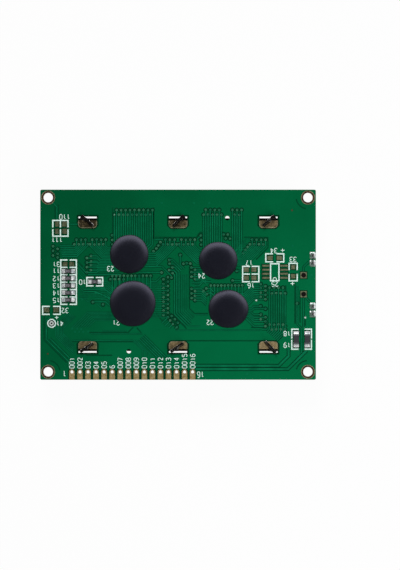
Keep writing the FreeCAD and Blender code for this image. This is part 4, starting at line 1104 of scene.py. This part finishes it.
dots = 1.0
apart = node(tree, "ShaderNodeSeparateXYZ", {"Vector": place}).outputs
for axis, step, size, count in zip("XY", CHARACTER_STEP, CHARACTER_SIZE, (CHARACTERS, LINES)):
    share, inside = within(apart[axis], step, size, count / 2 + (1 - size / step) / -2)
    run = node(tree, "ShaderNodeMath", {0: share, 1: step * MM}, operation="MULTIPLY").outputs[0]
    dotted = within(run, DOT_STEP, DOT_SIZE, 0.0)[1]
    reach = node(tree, "ShaderNodeMath", {0: apart[axis]}, operation="ABSOLUTE").outputs[0]
    near = {0: reach, 1: count * step / 2 * MM}
    near = node(tree, "ShaderNodeMath", near, operation="LESS_THAN").outputs[0]
    for part in (inside, dotted, near):
        dots = node(tree, "ShaderNodeMath", {0: dots, 1: part}, operation="MULTIPLY").outputs[0]
noise = {"Vector": place, "Scale": 1 / (15.0 * MM), "Detail": 2.0}
blotches = node(tree, "ShaderNodeTexNoise", noise).outputs["Fac"]
mix = {"Factor": blotches, MIX_FIRST: colour("#8C9A48"), MIX_SECOND: colour("#98A655")}
resting = node(tree, "ShaderNodeMix", mix, data_type="RGBA").outputs[MIX_RESULT]
mix = {"Factor": dots, MIX_FIRST: resting, MIX_SECOND: colour("#7D8B42")}
mix = node(tree, "ShaderNodeMix", mix, data_type="RGBA")
tree.links.new(mix.outputs[MIX_RESULT], shader.inputs["Base Color"])
set_finish(["front_polarizer"], film)

# The rear film is half a mirror, so that the display can be read by daylight
mirror_film = mottled("rear_transflective_film", "#93A155", "#A0AE61", 9.0, Roughness=0.3, Metallic=0.35)
set_finish(["rear_polarizer"], mirror_film)

# The seal: epoxy with glass beads in it, cured to a dull straw colour
epoxy = mottled("cured_cell_epoxy", "#B8B09C", "#C8C2B0", 1.0, Roughness=0.5)
set_finish(["cell_seal"], epoxy)


# Contact strips and backlight
# Rubber strips of alternate conducting and insulating layers carry the signals from the
# glass to the board. Behind the glass lie a milky sheet, a clear guide and the lamps.

# Silicone rubber, pink where it insulates and black with carbon where it conducts
LAYER_PITCH_MM = 0.18
rubber, tree, shader, place = finish("layered_silicone_rubber", Roughness=0.6)
layers = node(tree, "ShaderNodeSeparateXYZ", {"Vector": place}).outputs["X"]
layers = {0: layers, 1: math.tau / (LAYER_PITCH_MM * MM)}
layers = node(tree, "ShaderNodeMath", layers, operation="MULTIPLY").outputs[0]
layers = node(tree, "ShaderNodeMath", {0: layers}, operation="SINE").outputs[0]
layers = {"Value": layers, "From Min": -0.3, "From Max": 0.3}
layers = node(tree, "ShaderNodeMapRange", layers).outputs["Result"]
mix = {"Factor": layers, MIX_FIRST: colour("#C9A9A4"), MIX_SECOND: colour("#2A2A2C")}
mix = node(tree, "ShaderNodeMix", mix, data_type="RGBA")
tree.links.new(mix.outputs[MIX_RESULT], shader.inputs["Base Color"])
set_finish(["contact_strip_upper", "contact_strip_lower"], rubber)

# Moulded white plastic that spreads the lamps' light: milky and half matt
milky = mottled("moulded_white_plastic", "#E4E4DE", "#F0F0EB", 3.0, Roughness=0.45)
set_finish(["diffuser_sheet", "backlight_housing"], milky)

# Cast acrylic, as clear as glass
acrylic = mottled("clear_acrylic", "#F4F8F2", "#FBFDFA", 12.0,
                  Roughness=0.05, IOR=1.49, Transmission_Weight=1.0)
set_finish(["light_guide"], acrylic)

# The lamps' board has a matt white face, to throw their light forward
lamp_board = mottled("white_faced_laminate", "#D6D8CF", "#E2E4DC", 4.0, Roughness=0.5)
set_finish(["led_board"], lamp_board)

# The lamps' chips lie in clear yellow resin
chip = mottled("light_emitting_chip", "#C9B84E", "#E0D277", 0.2, Roughness=0.2)
set_finish(["backlight_leds"], chip)

# The leads: copper strip, hot-dipped in tin, bright and faintly rippled
strip = mottled("tinned_copper_strip", "#BDBDB8", "#D8D8D3", 0.4, grain=(0.3, 0.02),
                Metallic=1.0, Roughness=0.3)
set_finish(["backlight_lead_%d" % i for i in range(1, 5)], strip)


# Floor and light
# The module lies on a white table. A broad soft lamp hangs beyond its upper edge, and a
# weaker one stands off its lower right, so that the mask is brighter there. A third
# shines up from below, for a look at the display.

FLOOR_SIDE = 3.0
FLOOR_DROP = 0.03 * MM
floor_mesh = bpy.data.meshes.new("floor")
half = FLOOR_SIDE / 2
corners = [(-half, -half), (half, -half), (half, half), (-half, half)]
floor_mesh.from_pydata([(x, y, -FLOOR_DROP) for x, y in corners], [], [(0, 1, 2, 3)])
floor = bpy.data.objects.new("floor", floor_mesh)
bpy.context.scene.collection.objects.link(floor)

# The table is white to the eye, in gloss and through glass, and a plain pale grey to all
# other light. From below, and to the lamps, it isn't there.
WHITE_SHARE = 0.95
table = bpy.data.materials.new("white_table")
table.use_nodes = True
tree = table.node_tree
tree.nodes.clear()
ray = node(tree, "ShaderNodeLightPath").outputs
seen = {0: ray["Is Camera Ray"], 1: ray["Is Glossy Ray"]}
seen = node(tree, "ShaderNodeMath", seen, operation="MAXIMUM").outputs[0]
seen = {0: seen, 1: ray["Is Transmission Ray"]}
seen = node(tree, "ShaderNodeMath", seen, operation="MAXIMUM").outputs[0]
seen = node(tree, "ShaderNodeMath", {0: seen, 1: WHITE_SHARE}, operation="MULTIPLY").outputs[0]
pale = node(tree, "ShaderNodeBsdfDiffuse", {"Color": colour("#EDEDED")})
white = node(tree, "ShaderNodeEmission", {"Color": (1, 1, 1, 1), "Strength": 1.0})
shown = node(tree, "ShaderNodeMixShader", {0: seen})
tree.links.new(pale.outputs["BSDF"], shown.inputs[1])
tree.links.new(white.outputs["Emission"], shown.inputs[2])
below = node(tree, "ShaderNodeNewGeometry").outputs["Backfacing"]
clear = node(tree, "ShaderNodeBsdfTransparent")
gone = {0: below, 1: ray["Is Shadow Ray"]}
gone = node(tree, "ShaderNodeMath", gone, operation="MAXIMUM").outputs[0]
through = node(tree, "ShaderNodeMixShader", {0: gone})
tree.links.new(shown.outputs[0], through.inputs[1])
tree.links.new(clear.outputs["BSDF"], through.inputs[2])
node(tree, "ShaderNodeOutputMaterial", {"Surface": through.outputs[0]})
floor_mesh.materials.append(table)

# The room is pale round the table and dark overhead, where the camera hangs. Gloss sees a
# window beyond the table's upper side and shade on the lower one.
ROOM_SIDES = 0.45
WINDOW_SEEN = 2.6
WINDOW_WAY = (0.15, 1.0, 0.0)
SHADE_SEEN = 0.12
ROOM_ABOVE = 0.03
world = bpy.data.worlds.new("studio")
bpy.context.scene.world = world
world.use_nodes = True
tree = world.node_tree
tree.nodes.clear()
ray = node(tree, "ShaderNodeLightPath").outputs
generated = node(tree, "ShaderNodeTexCoord").outputs["Generated"]
upward = node(tree, "ShaderNodeSeparateXYZ", {"Vector": generated}).outputs["Z"]
window = {0: generated, 1: WINDOW_WAY}
window = node(tree, "ShaderNodeVectorMath", window, operation="DOT_PRODUCT").outputs["Value"]
window = {"Value": window, "From Min": -0.2, "From Max": 0.9, "To Min": SHADE_SEEN, "To Max": WINDOW_SEEN}
window = node(tree, "ShaderNodeMapRange", window, interpolation_type="SMOOTHSTEP").outputs["Result"]
sides = {"Value": ray["Is Glossy Ray"], "To Min": ROOM_SIDES, "To Max": window}
sides = node(tree, "ShaderNodeMapRange", sides).outputs["Result"]
fade = {"Value": upward, "From Min": 0.3, "From Max": 0.85, "To Min": sides, "To Max": ROOM_ABOVE}
fade = node(tree, "ShaderNodeMapRange", fade, interpolation_type="SMOOTHSTEP").outputs["Result"]
room = node(tree, "ShaderNodeBackground", {"Color": (1, 1, 1, 1), "Strength": fade})
backdrop = node(tree, "ShaderNodeBackground", {"Color": (1, 1, 1, 1), "Strength": 1.0})
shown = node(tree, "ShaderNodeMixShader", {0: ray["Is Camera Ray"]})
tree.links.new(room.outputs[0], shown.inputs[1])
tree.links.new(backdrop.outputs[0], shown.inputs[2])
node(tree, "ShaderNodeOutputWorld", {"Surface": shown.outputs[0]})


def soft_lamp(name, place, aim, side, watts):
    """A square lamp, side metres across, turned towards a point."""
    data = bpy.data.lights.new(name, "AREA")
    data.shape = "SQUARE"
    data.size = side
    data.energy = watts
    lamp = bpy.data.objects.new(name, data)
    lamp.location = place
    lamp.rotation_euler = (Vector(aim) - Vector(place)).to_track_quat("-Z", "Y").to_euler()
    bpy.context.scene.collection.objects.link(lamp)
    return lamp


soft_lamp("main_lamp", (-0.1, 0.62, 0.62), (0, 0, 0), 0.3, 4.0).visible_glossy = False
soft_lamp("corner_lamp", (0.26, -0.24, 0.34), (0.02, -0.02, 0), 0.45, 1.55).visible_glossy = False
soft_lamp("under_lamp", (0.1, -0.2, -0.6), (0, 0, 0), 0.5, 3.0)
